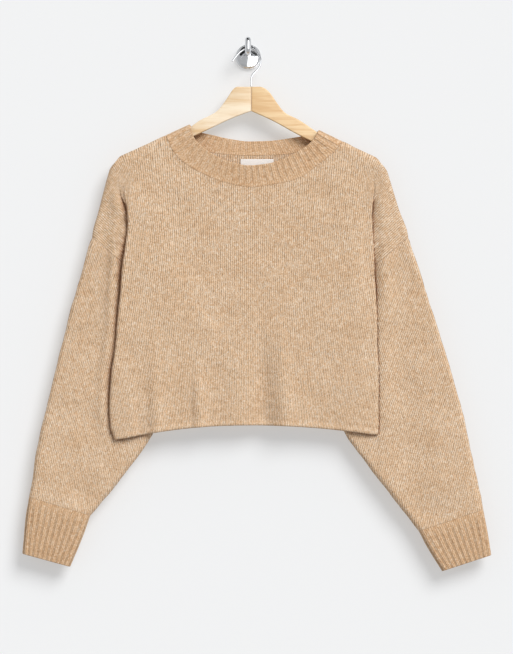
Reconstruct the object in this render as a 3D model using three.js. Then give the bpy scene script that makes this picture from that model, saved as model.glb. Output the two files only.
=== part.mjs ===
// Cropped knit jumper hanging on a wooden hanger from a chrome wall hook.
// Millimetres, +X to the viewer's right, +Y into the wall, +Z up.
// The origin is the centre of the flat back of the wall plate, on the wall.
import * as THREE from 'three';

// ---------------------------------------------------------------- driving dimensions
const CLOTH = 2.4;          // thickness of the knitted fabric
const SEAM_GAP = 0.3;       // space left between two pieces at a seam
const MID_Y = -28;          // plane of the hanger, half way between front and back
const TOP_DEPTH = 7.5;      // fabric layer's distance from that plane over the hanger
const EDGE_DEPTH = SEAM_GAP / 2;   // a front or back piece's edge stops this short of it
const SLOPE_COSINE = 0.91;  // turns a drop below the shoulder line into a distance from it
const HEM_Z = -591;         // hem at the centre of the body
const SHOULDER_Z = -291;    // where the sleeve head meets the shoulder seam
const UNDERARM_Z = -443;    // bottom of the armhole
const ARMHOLE_INSET = 0.9;  // the sleeve starts this far below the armhole seam

// Each side: height, then distances outward from the centre line of the outer edge
// (shoulder seam, armhole, side seam), of the inner turn and of the outer fold, how far
// the fold is closed, and the depths of the three layers from the middle plane.
const SIDES = {
  left: {
    sign: -1,
    shoulder: { x: 93, z: -110.4, slope: 0.452 },
    hemDrop: 24,
    rows: [
      { z: -167, edge: 217, turn: 211, fold: 203, closed: 0, third: 7.5, under: 7.5, over: 7.5 },
      { z: -200, edge: 227, turn: 208, fold: 199, closed: 0, third: 7.5, under: 7.8, over: 8.6 },
      { z: -222, edge: 232.5, turn: 203, fold: 199, closed: 0.5, third: 6.2, under: 8.3, over: 10.6 },
      { z: -245, edge: 238, turn: 188, fold: 195, closed: 1, third: 5.1, under: 9, over: 13 },
      { z: -291, edge: 249, turn: 166, fold: 198, closed: 1, third: 5, under: 9.5, over: 14 },
      { z: -367, edge: 157, turn: 113, fold: 204, closed: 1, third: 5, under: 9.5, over: 14 },
      { z: -443, edge: 65, turn: 59, fold: 210, closed: 1, third: 5, under: 9.5, over: 14 },
      { z: -453, edge: 62, turn: 61, fold: 211, closed: 1, third: 5, under: 9.5, over: 14 },
      { z: -520, edge: 75, turn: 74, fold: 219, closed: 1, third: 5, under: 9.5, over: 14 },
      { z: -560, edge: 81, turn: 80, fold: 222, closed: 1, third: 5, under: 9.5, over: 14 },
      { z: -595, edge: 87, turn: 86, fold: 219, closed: 1, third: 5, under: 9.5, over: 14 },
      { z: -615, edge: 91, turn: 90, fold: 212, closed: 1, third: 5, under: 9.5, over: 13.5 },
    ],
  },
  right: {
    sign: 1,
    shoulder: { x: 112, z: -119.6, slope: 0.47 },
    hemDrop: 17,
    rows: [
      { z: -169, edge: 217, turn: 211, fold: 203, closed: 0, third: 7.5, under: 7.5, over: 7.5 },
      { z: -200, edge: 227, turn: 208, fold: 200, closed: 0, third: 7.5, under: 7.7, over: 8.2 },
      { z: -222, edge: 233.5, turn: 203.5, fold: 200, closed: 0.5, third: 6, under: 7.9, over: 10 },
      { z: -245, edge: 240, turn: 190, fold: 199, closed: 1, third: 5.1, under: 8.6, over: 12.1 },
      { z: -291, edge: 255, turn: 170, fold: 200, closed: 1, third: 5, under: 8.8, over: 12.6 },
      { z: -367, edge: 163, turn: 116, fold: 204, closed: 1, third: 5, under: 8.8, over: 12.6 },
      { z: -443, edge: 72, turn: 66, fold: 207, closed: 1, third: 5, under: 8.8, over: 12.6 },
      { z: -453, edge: 69, turn: 68, fold: 207, closed: 1, third: 5, under: 8.8, over: 12.6 },
      { z: -520, edge: 79, turn: 78, fold: 209, closed: 1, third: 5, under: 8.8, over: 12.6 },
      { z: -560, edge: 84, turn: 83, fold: 209, closed: 1, third: 5, under: 8.8, over: 12.6 },
      { z: -595, edge: 89, turn: 88, fold: 209, closed: 1, third: 5, under: 8.8, over: 12.6 },
      { z: -608, edge: 92, turn: 91, fold: 207, closed: 1, third: 5, under: 8.8, over: 12.6 },
    ],
  },
};
const LIP = [0, 1, 3, 7];   // steps in from an edge that curls over to the middle plane
const BEND = 2.5;           // radius of the turns at the side folds
const LAYER_GAP = 0.6;      // space between a panel's main layer and the folded one under it
const COVER_RISE = 50;      // the main layer rises over the folded one within this width
const COVER_LIFT = { from: -430, height: 2.4 };   // it bows out by this much at the hem
const LOWER_ROWS = [0.06, 0.4, 0.68, 0.88, 1];   // body rows below the armhole

// Columns of the panels outside the neck: where each starts on the shoulder and ends at
// the hem.
const SHOULDER_COLUMNS = {
  left: [{ x: -190, hem: -198 }, { x: -160, hem: -184 }],
  right: [{ x: 172, hem: 184 }, { x: 192, hem: 196 }],
};
// Columns inside the neck, from one shoulder to the other: the neck seam on the front and
// the back, the neckband's upper edge above it, and the place along the hem. The two end
// rows lie on the shoulder line.
const NECK_COLUMNS = [
  { x: -132, hem: -172, bandX: -93 },
  { x: -122, front: -150, back: -139, hem: -126, bandX: -88, bandFront: -128, bandBack: -117 },
  { x: -104, front: -170, back: -145, hem: -104, bandX: -78, bandFront: -141, bandBack: -121 },
  { x: -72, front: -189, back: -152, hem: -80, bandX: -57, bandFront: -157, bandBack: -126 },
  { x: -36, front: -203, back: -157, hem: -40, bandX: -30, bandFront: -169, bandBack: -132 },
  { x: 3, front: -210, back: -159, hem: 5, bandX: 1, bandFront: -175, bandBack: -136 },
  { x: 44, front: -205, back: -158, hem: 48, bandX: 36, bandFront: -171, bandBack: -135 },
  { x: 82, front: -195, back: -154, hem: 84, bandX: 66, bandFront: -160, bandBack: -131 },
  { x: 109, front: -176, back: -149, hem: 108, bandX: 90, bandFront: -146, bandBack: -127 },
  { x: 135, front: -155, back: -144, hem: 134, bandX: 105, bandFront: -132, bandBack: -124 },
  { x: 150, hem: 168, bandX: 112 },
];
const NECK_DEPTH = 9;       // depth of the panels at the neck seam
const BAND_DEPTH = 12;      // the neckband's upper edge stands further from the middle plane
const BAND_INSET = 0.9;     // the neckband starts this far inside the neck seam

// Soft folds that fall to the hem: position there, height where each starts, half width
// and depth (a negative depth is a ridge).
const HEM_FOLDS = {
  front: [
    { x: -154, from: -490, width: 15, depth: 3.5 },
    { x: -80, from: -470, width: 16, depth: 3.5 },
    { x: 48, from: -385, width: 17, depth: 4.5 },
    { x: 130, from: -520, width: 14, depth: 2 },
    { x: -118, from: -470, width: 18, depth: -2.5 },
    { x: 5, from: -420, width: 18, depth: -2 },
    { x: 84, from: -430, width: 18, depth: -2.5 },
  ],
  back: [
    { x: -112, from: -470, width: 18, depth: 3 },
    { x: -20, from: -400, width: 20, depth: 4 },
    { x: 84, from: -450, width: 18, depth: 3.5 },
    { x: -72, from: -430, width: 20, depth: -2.5 },
    { x: 44, from: -430, width: 20, depth: -2 },
  ],
};

// Sleeves: sections from the armhole to the wrist. Distances outward from the centre
// line of the outer and inner edges, their heights, and the half depth of the tube.
const SLEEVES = {
  left: [
    { outerX: 249, outerZ: -291, innerX: 68.6, innerZ: -440, depth: 5 },
    { outerX: 268, outerZ: -352, innerX: 84, innerZ: -478, depth: 5 },
    { outerX: 288, outerZ: -425, innerX: 108, innerZ: -522, depth: 5 },
    { outerX: 305, outerZ: -492, innerX: 132, innerZ: -566, depth: 5.4 },
    { outerX: 320, outerZ: -552, innerX: 158, innerZ: -612, depth: 6.2 },
    { outerX: 333, outerZ: -608, innerX: 190, innerZ: -657, depth: 7.6 },
    { outerX: 343, outerZ: -660, innerX: 223, innerZ: -699, depth: 8.6 },
    { outerX: 350, outerZ: -706, innerX: 254, innerZ: -735, depth: 9 },
  ],
  right: [
    { outerX: 255, outerZ: -291, innerX: 75.6, innerZ: -440, depth: 5 },
    { outerX: 277, outerZ: -356, innerX: 90, innerZ: -478, depth: 5 },
    { outerX: 300, outerZ: -428, innerX: 112, innerZ: -522, depth: 5 },
    { outerX: 321, outerZ: -496, innerX: 136, innerZ: -566, depth: 5 },
    { outerX: 339, outerZ: -558, innerX: 160, innerZ: -610, depth: 5.2 },
    { outerX: 353, outerZ: -618, innerX: 194, innerZ: -657, depth: 7.6 },
    { outerX: 366, outerZ: -676, innerX: 236, innerZ: -711, depth: 8.6 },
    { outerX: 375, outerZ: -726, innerX: 274, innerZ: -760, depth: 9 },
  ],
};
const CUFFS = {
  left: [
    { outerX: 350.2, outerZ: -706.8, innerX: 254.4, innerZ: -735.8, depth: 8.8 },
    { outerX: 356, outerZ: -750, innerX: 270, innerZ: -777, depth: 8 },
    { outerX: 360, outerZ: -797, innerX: 287, innerZ: -817, depth: 7.6 },
  ],
  right: [
    { outerX: 375.2, outerZ: -726.4, innerX: 274.2, innerZ: -760.4, depth: 8.8 },
    { outerX: 382, outerZ: -762, innerX: 292, innerZ: -792, depth: 8 },
    { outerX: 388, outerZ: -799, innerX: 312, innerZ: -824, depth: 7.6 },
  ],
};

const LABEL = { left: -12.5, right: 40.5, top: -164.5, bottom: -189, thickness: 1 };

// Hanger: two flat arms that meet at a centre seam. Outline of each arm, seam to tip.
const HANGER = { thickness: 10, bevel: 2, seamX: 4.8, topZ: -49, underZ: -88, clearance: 2.1 };
const ARMS = {
  left: {
    top: [[18.6, -49], [24, -52.5], [30, -61], [38, -73], [50.4, -88], [63, -95.6], [77.3, -102.5]],
    under: [[25, -99], [64.5, -117.5]],
    tip: { x: 203, height: 17 },
  },
  right: {
    top: [[20, -49], [28, -52.5], [36, -60.5], [46, -75], [58.7, -90.5], [80, -101.5]],
    under: [[38, -103], [84, -128]],
    tip: { x: 203, height: 17 },
  },
};

// Hanger wire, followed from its rounded tip over the peg and down to the wood.
const WIRE_RADIUS = 1.4;
const WIRE_PATH = [
  [-25.4, -7.6], [-21, -1.5], [-15, 5.5], [-8, 10.4], [0, 12.05], [8.5, 10.2], [15.5, 4.6],
  [19.4, -3], [19.8, -11], [16.6, -18.5], [11, -25], [6.6, -30], [4.8, -35], [4.8, -41],
  [4.8, HANGER.topZ + 0.3],
];

// Wall hook: a domed round plate and an upturned round peg.
const PLATE = { radius: 20, rim: 4, dome: 9 };
const PEG = { radius: 4.8, path: [[-9.3, 4], [-20, 4.6], [-29, 5.6], [-36, 8.5], [-40, 15], [-41, 31]] };

// ---------------------------------------------------------------- materials
const material = (color, roughness, metalness = 0) =>
  new THREE.MeshStandardMaterial({ color, roughness, metalness });
const knit = () => material(0xd1b597, 0.95);
const ribbing = () => material(0xcba986, 0.95);
const wood = () => material(0xe9d3b5, 0.5);
const chrome = () => material(0xc8ccd0, 0.15, 1);

// ---------------------------------------------------------------- helpers
const root = new THREE.Group();
const smoothstep = THREE.MathUtils.smoothstep;

function addMesh(name, geometry, surface) {
  const mesh = new THREE.Mesh(geometry, surface);
  mesh.name = name;
  root.add(mesh);
}

/** Straight-line value of one column of a table at height z (rows run downward). */
function tableAt(rows, column, z) {
  if (z >= rows[0].z) return rows[0][column];
  for (let i = 1; i < rows.length; i++) {
    const above = rows[i - 1];
    const below = rows[i];
    if (z >= below.z) {
      const share = (above.z - z) / (above.z - below.z);
      return above[column] + (below[column] - above[column]) * share;
    }
  }
  return rows[rows.length - 1][column];
}

/** Rounded edge: share of the full depth reached at a distance in from the edge. */
function curl(distance, radius = TOP_DEPTH) {
  const t = Math.min(Math.max(distance / radius, 0), 1);
  return Math.sqrt(1 - (1 - t) * (1 - t));
}

/** A point at a depth from the middle plane, on the front (+1) or the back (-1). */
const layerPoint = (x, z, depth, face) => new THREE.Vector3(x, MID_Y - face * depth, z);

/**
 * A closed wall of even thickness on a grid of mid-surface points. closed joins the last
 * column to the first. face keeps a front or back panel on its own side of the middle.
 */
function clothWall(grid, { closed = false, face = 0, thickness = CLOTH } = {}) {
  const rows = grid.length;
  const columns = grid[0].length;
  const at = (i, j) => grid[i][(j + columns) % columns];
  const positions = [];
  for (const side of [1, -1]) {
    for (let i = 0; i < rows; i++) {
      for (let j = 0; j < columns; j++) {
        const left = closed ? at(i, j - 1) : at(i, Math.max(j - 1, 0));
        const right = closed ? at(i, j + 1) : at(i, Math.min(j + 1, columns - 1));
        const along = right.clone().sub(left);
        const down = at(Math.min(i + 1, rows - 1), j).clone().sub(at(Math.max(i - 1, 0), j));
        const normal = along.cross(down).normalize();
        const point = at(i, j).clone().addScaledVector(normal, (side * thickness) / 2);
        if (face) {
          const depth = Math.max((MID_Y - point.y) * face, EDGE_DEPTH);
          point.y = MID_Y - face * depth;
        }
        positions.push(point.x, point.y, point.z);
      }
    }
  }
  const count = rows * columns;
  const outer = (i, j) => i * columns + (j % columns);
  const inner = (i, j) => count + outer(i, j);
  const index = [];
  const quad = (a, b, c, d) => index.push(a, b, c, a, c, d);
  const lastColumn = closed ? columns : columns - 1;
  for (let i = 0; i < rows - 1; i++) {
    for (let j = 0; j < lastColumn; j++) {
      quad(outer(i, j), outer(i, j + 1), outer(i + 1, j + 1), outer(i + 1, j));
      quad(inner(i, j), inner(i + 1, j), inner(i + 1, j + 1), inner(i, j + 1));
    }
    if (!closed) {
      quad(outer(i, 0), outer(i + 1, 0), inner(i + 1, 0), inner(i, 0));
      const j = columns - 1;
      quad(outer(i, j), inner(i, j), inner(i + 1, j), outer(i + 1, j));
    }
  }
  for (let j = 0; j < lastColumn; j++) {
    quad(outer(0, j), inner(0, j), inner(0, j + 1), outer(0, j + 1));
    const i = rows - 1;
    quad(outer(i, j), outer(i, j + 1), inner(i, j + 1), inner(i, j));
  }
  return outwardGeometry(positions, index);
}

/** Indexed geometry with its faces turned outward, judged by its signed volume. */
function outwardGeometry(positions, index) {
  const corner = (k) => new THREE.Vector3().fromArray(positions, index[k] * 3);
  let volume = 0;
  for (let k = 0; k < index.length; k += 3) {
    volume += corner(k).dot(corner(k + 1).cross(corner(k + 2)));
  }
  const order = index.slice();
  if (volume < 0) {
    for (let k = 0; k < order.length; k += 3) [order[k], order[k + 1]] = [order[k + 1], order[k]];
  }
  const geometry = new THREE.BufferGeometry();
  geometry.setAttribute('position', new THREE.Float32BufferAttribute(positions, 3));
  geometry.setIndex(order);
  geometry.computeVertexNormals();
  return geometry;
}

// ---------------------------------------------------------------- body panels
/** Height of the shoulder line (the fabric's top edge) at a place across the body. */
function shoulderLine(x) {
  const { shoulder } = x < 0 ? SIDES.left : SIDES.right;
  return shoulder.z - (Math.abs(x) - shoulder.x) * shoulder.slope;
}

function hemLine(x) {
  const { hemDrop } = x < 0 ? SIDES.left : SIDES.right;
  return HEM_Z - hemDrop * (x / 212) ** 2;
}

/** Row heights at one side: shoulder end, drop shoulder, armhole, side. */
function rowHeights(side) {
  const first = side.rows[0].z;
  const last = side.rows[side.rows.length - 1].z;
  const armhole = UNDERARM_Z - SHOULDER_Z;
  const edge = (z) => tableAt(side.rows, 'edge', z);
  const seamLength = Math.hypot(edge(SHOULDER_Z) - edge(UNDERARM_Z), armhole);
  const alongSeam = (s) => SHOULDER_Z + (armhole * s) / seamLength;
  return [
    ...LIP.map((step) => ({ z: first - step })),
    { z: -200 },
    { z: -222 },
    { z: -245 },
    ...LIP.map((step) => ({ z: alongSeam(step), seam: step })),
    ...[0.25, 0.5, 0.75].map((share) => ({ z: SHOULDER_Z + armhole * share, seam: 100 })),
    ...LIP.slice(1).reverse().map((step) => ({ z: alongSeam(seamLength - step), seam: step })),
    { z: UNDERARM_Z, side: true },
    ...LOWER_ROWS.map((share) => ({ z: UNDERARM_Z + (last - UNDERARM_Z) * share, side: true })),
  ];
}

/** One side's section of a panel at a row: outer edge, inner turn, outer fold. */
function sideSection(side, row) {
  const value = (column) => tableAt(side.rows, column, row.z);
  const edge = value('edge');
  const turn = value('turn');
  const fold = value('fold');
  const closed = value('closed');
  const third = value('third');
  const under = value('under');
  const over = value('over');
  const spread = 2 * closed - 1;
  const points = LIP.map((step) => {
    if (row.side) return { a: edge - step * 0.1, depth: EDGE_DEPTH + step * 0.55 };
    const room = Math.min(step, (edge - turn - BEND) * step / 8);
    const reach = row.seam === undefined ? step : row.seam + step;
    return { a: edge - room, depth: Math.max(third * curl(reach, third), EDGE_DEPTH) };
  });
  const start = row.side ? turn + 0.3 : turn + BEND;
  points.push({ a: start, depth: third });
  points.push({ a: turn, depth: (third + under) / 2 });
  points.push({ a: turn + BEND * spread, depth: under });
  points.push({ a: fold - BEND * spread, depth: under });
  points.push({ a: fold, depth: (under + over) / 2 });
  points.push({ a: fold - BEND, depth: over });
  return points;
}

/** Depth of the main layer of a panel, held clear of the folded layer that it covers. */
function mainDepth(x, z, share, folds) {
  const side = x < 0 ? SIDES.left : SIDES.right;
  const sideZ = side.rows[0].z + (side.rows[side.rows.length - 1].z - side.rows[0].z) * share;
  const over = tableAt(side.rows, 'over', sideZ);
  const reach = Math.min(Math.abs(x) / tableAt(side.rows, 'fold', sideZ), 1);
  const middle = NECK_DEPTH + 2 * smoothstep(share, 0.3, 1);
  const turn = tableAt(side.rows, 'turn', z);
  const folded = tableAt(side.rows, 'closed', z);
  const covers = folded * smoothstep(Math.abs(x), turn - COVER_RISE, turn - BEND);
  const clear = tableAt(side.rows, 'under', z) + CLOTH + LAYER_GAP;
  const low = smoothstep(-z, -COVER_LIFT.from, -HEM_Z);
  let depth = middle + (over - middle) * reach ** 4;
  depth += Math.max(clear + COVER_LIFT.height * low - depth, 0) * covers;
  for (const fold of folds) {
    const strength = smoothstep(-z, -fold.from, -HEM_Z);
    depth -= fold.depth * strength * Math.exp(-(((x - fold.x) / fold.width) ** 2));
  }
  depth = Math.max(depth, clear * covers);
  return depth * curl((shoulderLine(x) - z) * SLOPE_COSINE);
}

/**
 * Neck columns of the front or back with their heights, and with extra ones where the seam
 * curls over the hanger at both shoulders.
 */
function neckColumns(name) {
  const band = name === 'front' ? 'bandFront' : 'bandBack';
  const columns = NECK_COLUMNS.map((column) => ({
    x: column.x,
    seamZ: column[name] ?? shoulderLine(column.x),
    bandX: column.bandX,
    bandZ: column[band] ?? shoulderLine(column.bandX),
    hem: column.hem,
  }));
  const extra = (end, next) => LIP.slice(1).map((step) => {
    const share = step / ((shoulderLine(next.x) - next.seamZ) * SLOPE_COSINE);
    const mixed = {};
    for (const key of Object.keys(end)) mixed[key] = end[key] + (next[key] - end[key]) * share;
    return mixed;
  });
  const last = columns.length - 1;
  return [
    columns[0], ...extra(columns[0], columns[1]),
    ...columns.slice(1, last),
    ...extra(columns[last], columns[last - 1]).reverse(), columns[last],
  ];
}

function panelColumns(name) {
  const shoulder = (rows) => rows.map(({ x, hem }) => ({ x, seamZ: shoulderLine(x), hem }));
  return [
    ...shoulder(SHOULDER_COLUMNS.left), ...neckColumns(name), ...shoulder(SHOULDER_COLUMNS.right),
  ];
}

function panelGrid(name, face) {
  const rows = { left: rowHeights(SIDES.left), right: rowHeights(SIDES.right) };
  const folds = HEM_FOLDS[name];
  const sideColumns = (side, index) => {
    const row = rows[side.sign < 0 ? 'left' : 'right'][index];
    const first = side.rows[0].z;
    const last = side.rows[side.rows.length - 1].z;
    const fade = Math.max(1 - (first - row.z) / 70, 0);
    const low = Math.max((UNDERARM_Z - row.z) / (UNDERARM_Z - last), 0) ** 2;
    return sideSection(side, row).map(({ a, depth }) => {
      const x = side.sign * a;
      const rise = (shoulderLine(x) - first) * fade;
      const lift = (hemLine(x) - last + 1) * low;
      const z = row.z + rise + lift;
      return layerPoint(x, z, Math.max(depth * curl(shoulderLine(x) - z), EDGE_DEPTH), face);
    });
  };
  return rows.left.map((row, index) => {
    const left = SIDES.left.rows;
    const share = (left[0].z - row.z) / (left[0].z - left[left.length - 1].z);
    const main = panelColumns(name).map((column) => {
      const top = column.seamZ;
      const x = column.x + (column.hem - column.x) * share;
      const z = top + (hemLine(column.hem) - top) * share;
      return layerPoint(x, z, Math.max(mainDepth(x, z, share, folds), EDGE_DEPTH), face);
    });
    return [...sideColumns(SIDES.left, index), ...main, ...sideColumns(SIDES.right, index).reverse()];
  });
}

addMesh('front', clothWall(panelGrid('front', 1), { face: 1 }), knit());
addMesh('back', clothWall(panelGrid('back', -1), { face: -1 }), knit());

// ---------------------------------------------------------------- neckband
/** The band's section at one neck column: seam edge, middle, upper edge. */
function bandSection(column, face) {
  const length = Math.hypot(column.x - column.bandX, column.seamZ - column.bandZ);
  return [BAND_INSET / length, 0.5, 1].map((share) => {
    const x = column.x + (column.bandX - column.x) * share;
    const z = column.seamZ + (column.bandZ - column.seamZ) * share;
    const full = NECK_DEPTH + (BAND_DEPTH - NECK_DEPTH) * share;
    const depth = full * curl((shoulderLine(x) - z) * SLOPE_COSINE);
    return layerPoint(x, z, depth, face);
  });
}

function neckbandGrid() {
  const front = neckColumns('front').map((column) => bandSection(column, 1));
  const back = neckColumns('back').map((column) => bandSection(column, -1));
  const stations = [...front, ...back.slice(1, -1).reverse()];
  return [0, 1, 2].map((row) => stations.map((station) => station[row]));
}

addMesh('neckband', clothWall(neckbandGrid(), { closed: true }), ribbing());

// ---------------------------------------------------------------- sleeves and cuffs
/** Flattened ring of a sleeve: down the front from outer to inner edge, up the back. */
function sleeveRing(section, sign, shift = 0) {
  const outer = new THREE.Vector2(section.outerX, section.outerZ);
  const inner = new THREE.Vector2(section.innerX, section.innerZ);
  const width = outer.distanceTo(inner);
  const across = inner.clone().sub(outer).divideScalar(width);
  const downArm = new THREE.Vector2(-across.y, across.x).multiplyScalar(shift);
  const stops = [
    ...LIP.slice(1),
    width * 0.25, width * 0.5, width * 0.75,
    ...LIP.slice(1).reverse().map((step) => width - step),
  ];
  const place = (distance, face) => {
    const spot = outer.clone().addScaledVector(across, distance).add(downArm);
    const depth = section.depth * curl(Math.min(distance, width - distance), section.depth);
    return layerPoint(sign * spot.x, spot.y, depth, face);
  };
  return [
    place(0, 1),
    ...stops.map((distance) => place(distance, 1)),
    place(width, 1),
    ...stops.slice().reverse().map((distance) => place(distance, -1)),
  ];
}

for (const side of ['left', 'right']) {
  const { sign } = SIDES[side];
  const rings = SLEEVES[side].map((section, index) => {
    return sleeveRing(section, sign, index === 0 ? ARMHOLE_INSET : 0);
  });
  addMesh(`sleeve_${side}`, clothWall(rings, { closed: true }), knit());
  const cuffRings = CUFFS[side].map((section) => sleeveRing(section, sign));
  addMesh(`cuff_${side}`, clothWall(cuffRings, { closed: true }), ribbing());
}

// ---------------------------------------------------------------- label
{
  const width = LABEL.right - LABEL.left;
  const height = LABEL.top - LABEL.bottom;
  const geometry = new THREE.BoxGeometry(width, LABEL.thickness, height);
  const behind = NECK_DEPTH - CLOTH / 2 - SEAM_GAP - LABEL.thickness / 2;
  geometry.translate(LABEL.left + width / 2, MID_Y + behind, LABEL.bottom + height / 2);
  addMesh('label', geometry, material(0xf2efeb, 0.8));
}

// ---------------------------------------------------------------- hanger
/** One wooden arm: its outline across and down, extruded through its thickness. */
function armGeometry(side) {
  const { sign } = SIDES[side];
  const arm = ARMS[side];
  const { bevel, thickness, seamX, topZ, underZ, clearance } = HANGER;
  const seam = sign * seamX + SEAM_GAP / 2 + bevel;
  const drop = CLOTH / 2 + clearance + bevel;
  const tipTop = shoulderLine(sign * arm.tip.x) - drop;
  const inset = (points) => points.map(([a, z]) => [a, z - bevel]);
  const outline = new THREE.Shape();
  outline.moveTo(sign * seam, topZ - bevel);
  for (const [a, z] of inset(arm.top)) outline.lineTo(sign * a, z);
  outline.lineTo(sign * SIDES[side].shoulder.x, shoulderLine(sign * SIDES[side].shoulder.x) - drop);
  outline.lineTo(sign * arm.tip.x, tipTop);
  outline.quadraticCurveTo(
    sign * (arm.tip.x + 9), tipTop - 6,
    sign * (arm.tip.x - 2), tipTop - arm.tip.height + 2 * bevel,
  );
  for (const [a, z] of arm.under.slice().reverse()) outline.lineTo(sign * a, z + bevel);
  outline.lineTo(sign * seam, underZ + bevel);
  const geometry = new THREE.ExtrudeGeometry(outline, {
    depth: thickness - 2 * bevel,
    curveSegments: 5,
    bevelEnabled: true,
    bevelThickness: bevel,
    bevelSize: bevel,
    bevelSegments: 2,
  });
  geometry.rotateX(Math.PI / 2);
  geometry.translate(0, MID_Y + thickness / 2 - bevel, 0);
  return geometry;
}
addMesh('hanger_left', armGeometry('left'), wood());
addMesh('hanger_right', armGeometry('right'), wood());

/** Round bar along a path of points. */
function bar(points, radius, steps, sides) {
  const path = new THREE.CatmullRomCurve3(points, false, 'centripetal');
  const section = new THREE.Shape();
  section.absarc(0, 0, radius, 0, 2 * Math.PI, false);
  return new THREE.ExtrudeGeometry(section, {
    steps,
    curveSegments: sides,
    bevelEnabled: false,
    extrudePath: path,
  });
}
const wirePoints = WIRE_PATH.map(([x, z]) => new THREE.Vector3(x, MID_Y, z));
addMesh('hanger_wire', bar(wirePoints, WIRE_RADIUS, 44, 4), chrome());

// ---------------------------------------------------------------- wall hook
{
  const profile = [new THREE.Vector2(0, 0), new THREE.Vector2(PLATE.radius, 0)];
  const steps = 6;
  for (let i = 0; i <= steps; i++) {
    const angle = (i / steps) * (Math.PI / 2);
    const radius = PLATE.radius * Math.cos(angle);
    profile.push(new THREE.Vector2(radius, PLATE.rim + (PLATE.dome - PLATE.rim) * Math.sin(angle)));
  }
  profile[profile.length - 1].x = 0;
  const plate = new THREE.LatheGeometry(profile, 40);
  plate.rotateX(Math.PI);
  addMesh('wall_plate', plate, chrome());
  const pegPoints = PEG.path.map(([y, z]) => new THREE.Vector3(-0.5, y, z));
  addMesh('wall_peg', bar(pegPoints, PEG.radius, 18, 8), chrome());
}

export default root;
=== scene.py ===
"""Looks of a cropped knit jumper that hangs on a wooden hanger from a chrome wall hook."""
import math
from functools import partial

import bmesh
import bpy
import numpy as np
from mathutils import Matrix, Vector


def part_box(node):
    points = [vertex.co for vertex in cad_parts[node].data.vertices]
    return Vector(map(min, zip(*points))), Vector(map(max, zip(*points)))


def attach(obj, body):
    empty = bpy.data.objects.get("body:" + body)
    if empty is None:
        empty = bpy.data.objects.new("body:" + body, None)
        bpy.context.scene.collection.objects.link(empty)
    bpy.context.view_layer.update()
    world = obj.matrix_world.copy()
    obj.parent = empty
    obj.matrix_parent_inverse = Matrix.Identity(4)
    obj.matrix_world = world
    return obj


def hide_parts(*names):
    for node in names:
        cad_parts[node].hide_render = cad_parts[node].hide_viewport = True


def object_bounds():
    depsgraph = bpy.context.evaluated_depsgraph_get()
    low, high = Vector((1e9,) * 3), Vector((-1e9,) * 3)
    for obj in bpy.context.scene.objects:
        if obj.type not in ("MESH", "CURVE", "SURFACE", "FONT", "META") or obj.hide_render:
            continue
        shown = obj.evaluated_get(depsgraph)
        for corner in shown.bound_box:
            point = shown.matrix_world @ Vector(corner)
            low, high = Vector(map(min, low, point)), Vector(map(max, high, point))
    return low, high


bl_info = {
    "name": "Hanging knit jumper",
    "version": (1, 0, 0),
    "blender": (4, 5, 0),
    "location": "View3D > Sidebar > Jumper",
    "description": "Builds a cropped marl jumper on a wooden hanger and a chrome wall hook",
    "category": "Object",
}

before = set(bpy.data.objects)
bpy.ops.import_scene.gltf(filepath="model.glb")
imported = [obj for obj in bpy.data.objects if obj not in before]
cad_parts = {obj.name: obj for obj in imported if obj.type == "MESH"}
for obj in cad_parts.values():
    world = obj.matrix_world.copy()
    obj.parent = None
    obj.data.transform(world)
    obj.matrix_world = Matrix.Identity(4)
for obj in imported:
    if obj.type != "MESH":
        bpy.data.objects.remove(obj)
CAD_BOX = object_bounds()

MM = 0.001
BODY = "root"         # the one body of the frame

# ------------------------------------------------------------------ sizes, in millimetres
CLOTH = 2.4           # thickness of the knitted fabric
MID_Y = -28.0         # plane of the hanger, half way between front and back
TOP_DEPTH = 7.5       # fabric's distance from that plane over the hanger
EDGE_DEPTH = 0.15     # a front or back panel stops this short of the plane
SLOPE_COSINE = 0.91   # turns a drop below the shoulder line into a distance from it
HEM_Z = -591.0        # hem at the centre of the body
HEM_REACH = 212.0     # distance out from there at which the hem has dropped in full
SHOULDER_Z = -291.0   # top of the armhole seam
UNDERARM_Z = -443.0   # bottom of the armhole seam
BEND = 2.5            # radius of the turns at the side folds
LAYER_GAP = 0.6       # space between a panel's main layer and the folded one under it
COVER_RISE = 50.0     # the main layer rises over the folded one within this width
COVER_LIFT = {"from": -430.0, "height": 2.4}   # it bows out from here, by this much at the hem
CORNER = {"radius": 13.0, "x": 120, "z": -230}   # soft shoulder corner, beyond x and above z
LIP = (0, 1, 3, 7)    # steps in from an edge that curls over to the middle plane
SEAM_TURN = {"in": 0.1, "deep": 0.55}   # below the armhole each step of the lip goes this far
LOWER_ROWS = (0.06, 0.4, 0.68, 0.88, 1)   # rows below the armhole, as shares of the way down
NECK_DEPTH = 9.0      # depth of the panels at the neck seam
BAND_DEPTH = 12.0     # the neckband's upper edge stands further from the middle plane
SEAM_SHIFT = 0.1      # a sleeve or neckband starts this far past its seam

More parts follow.
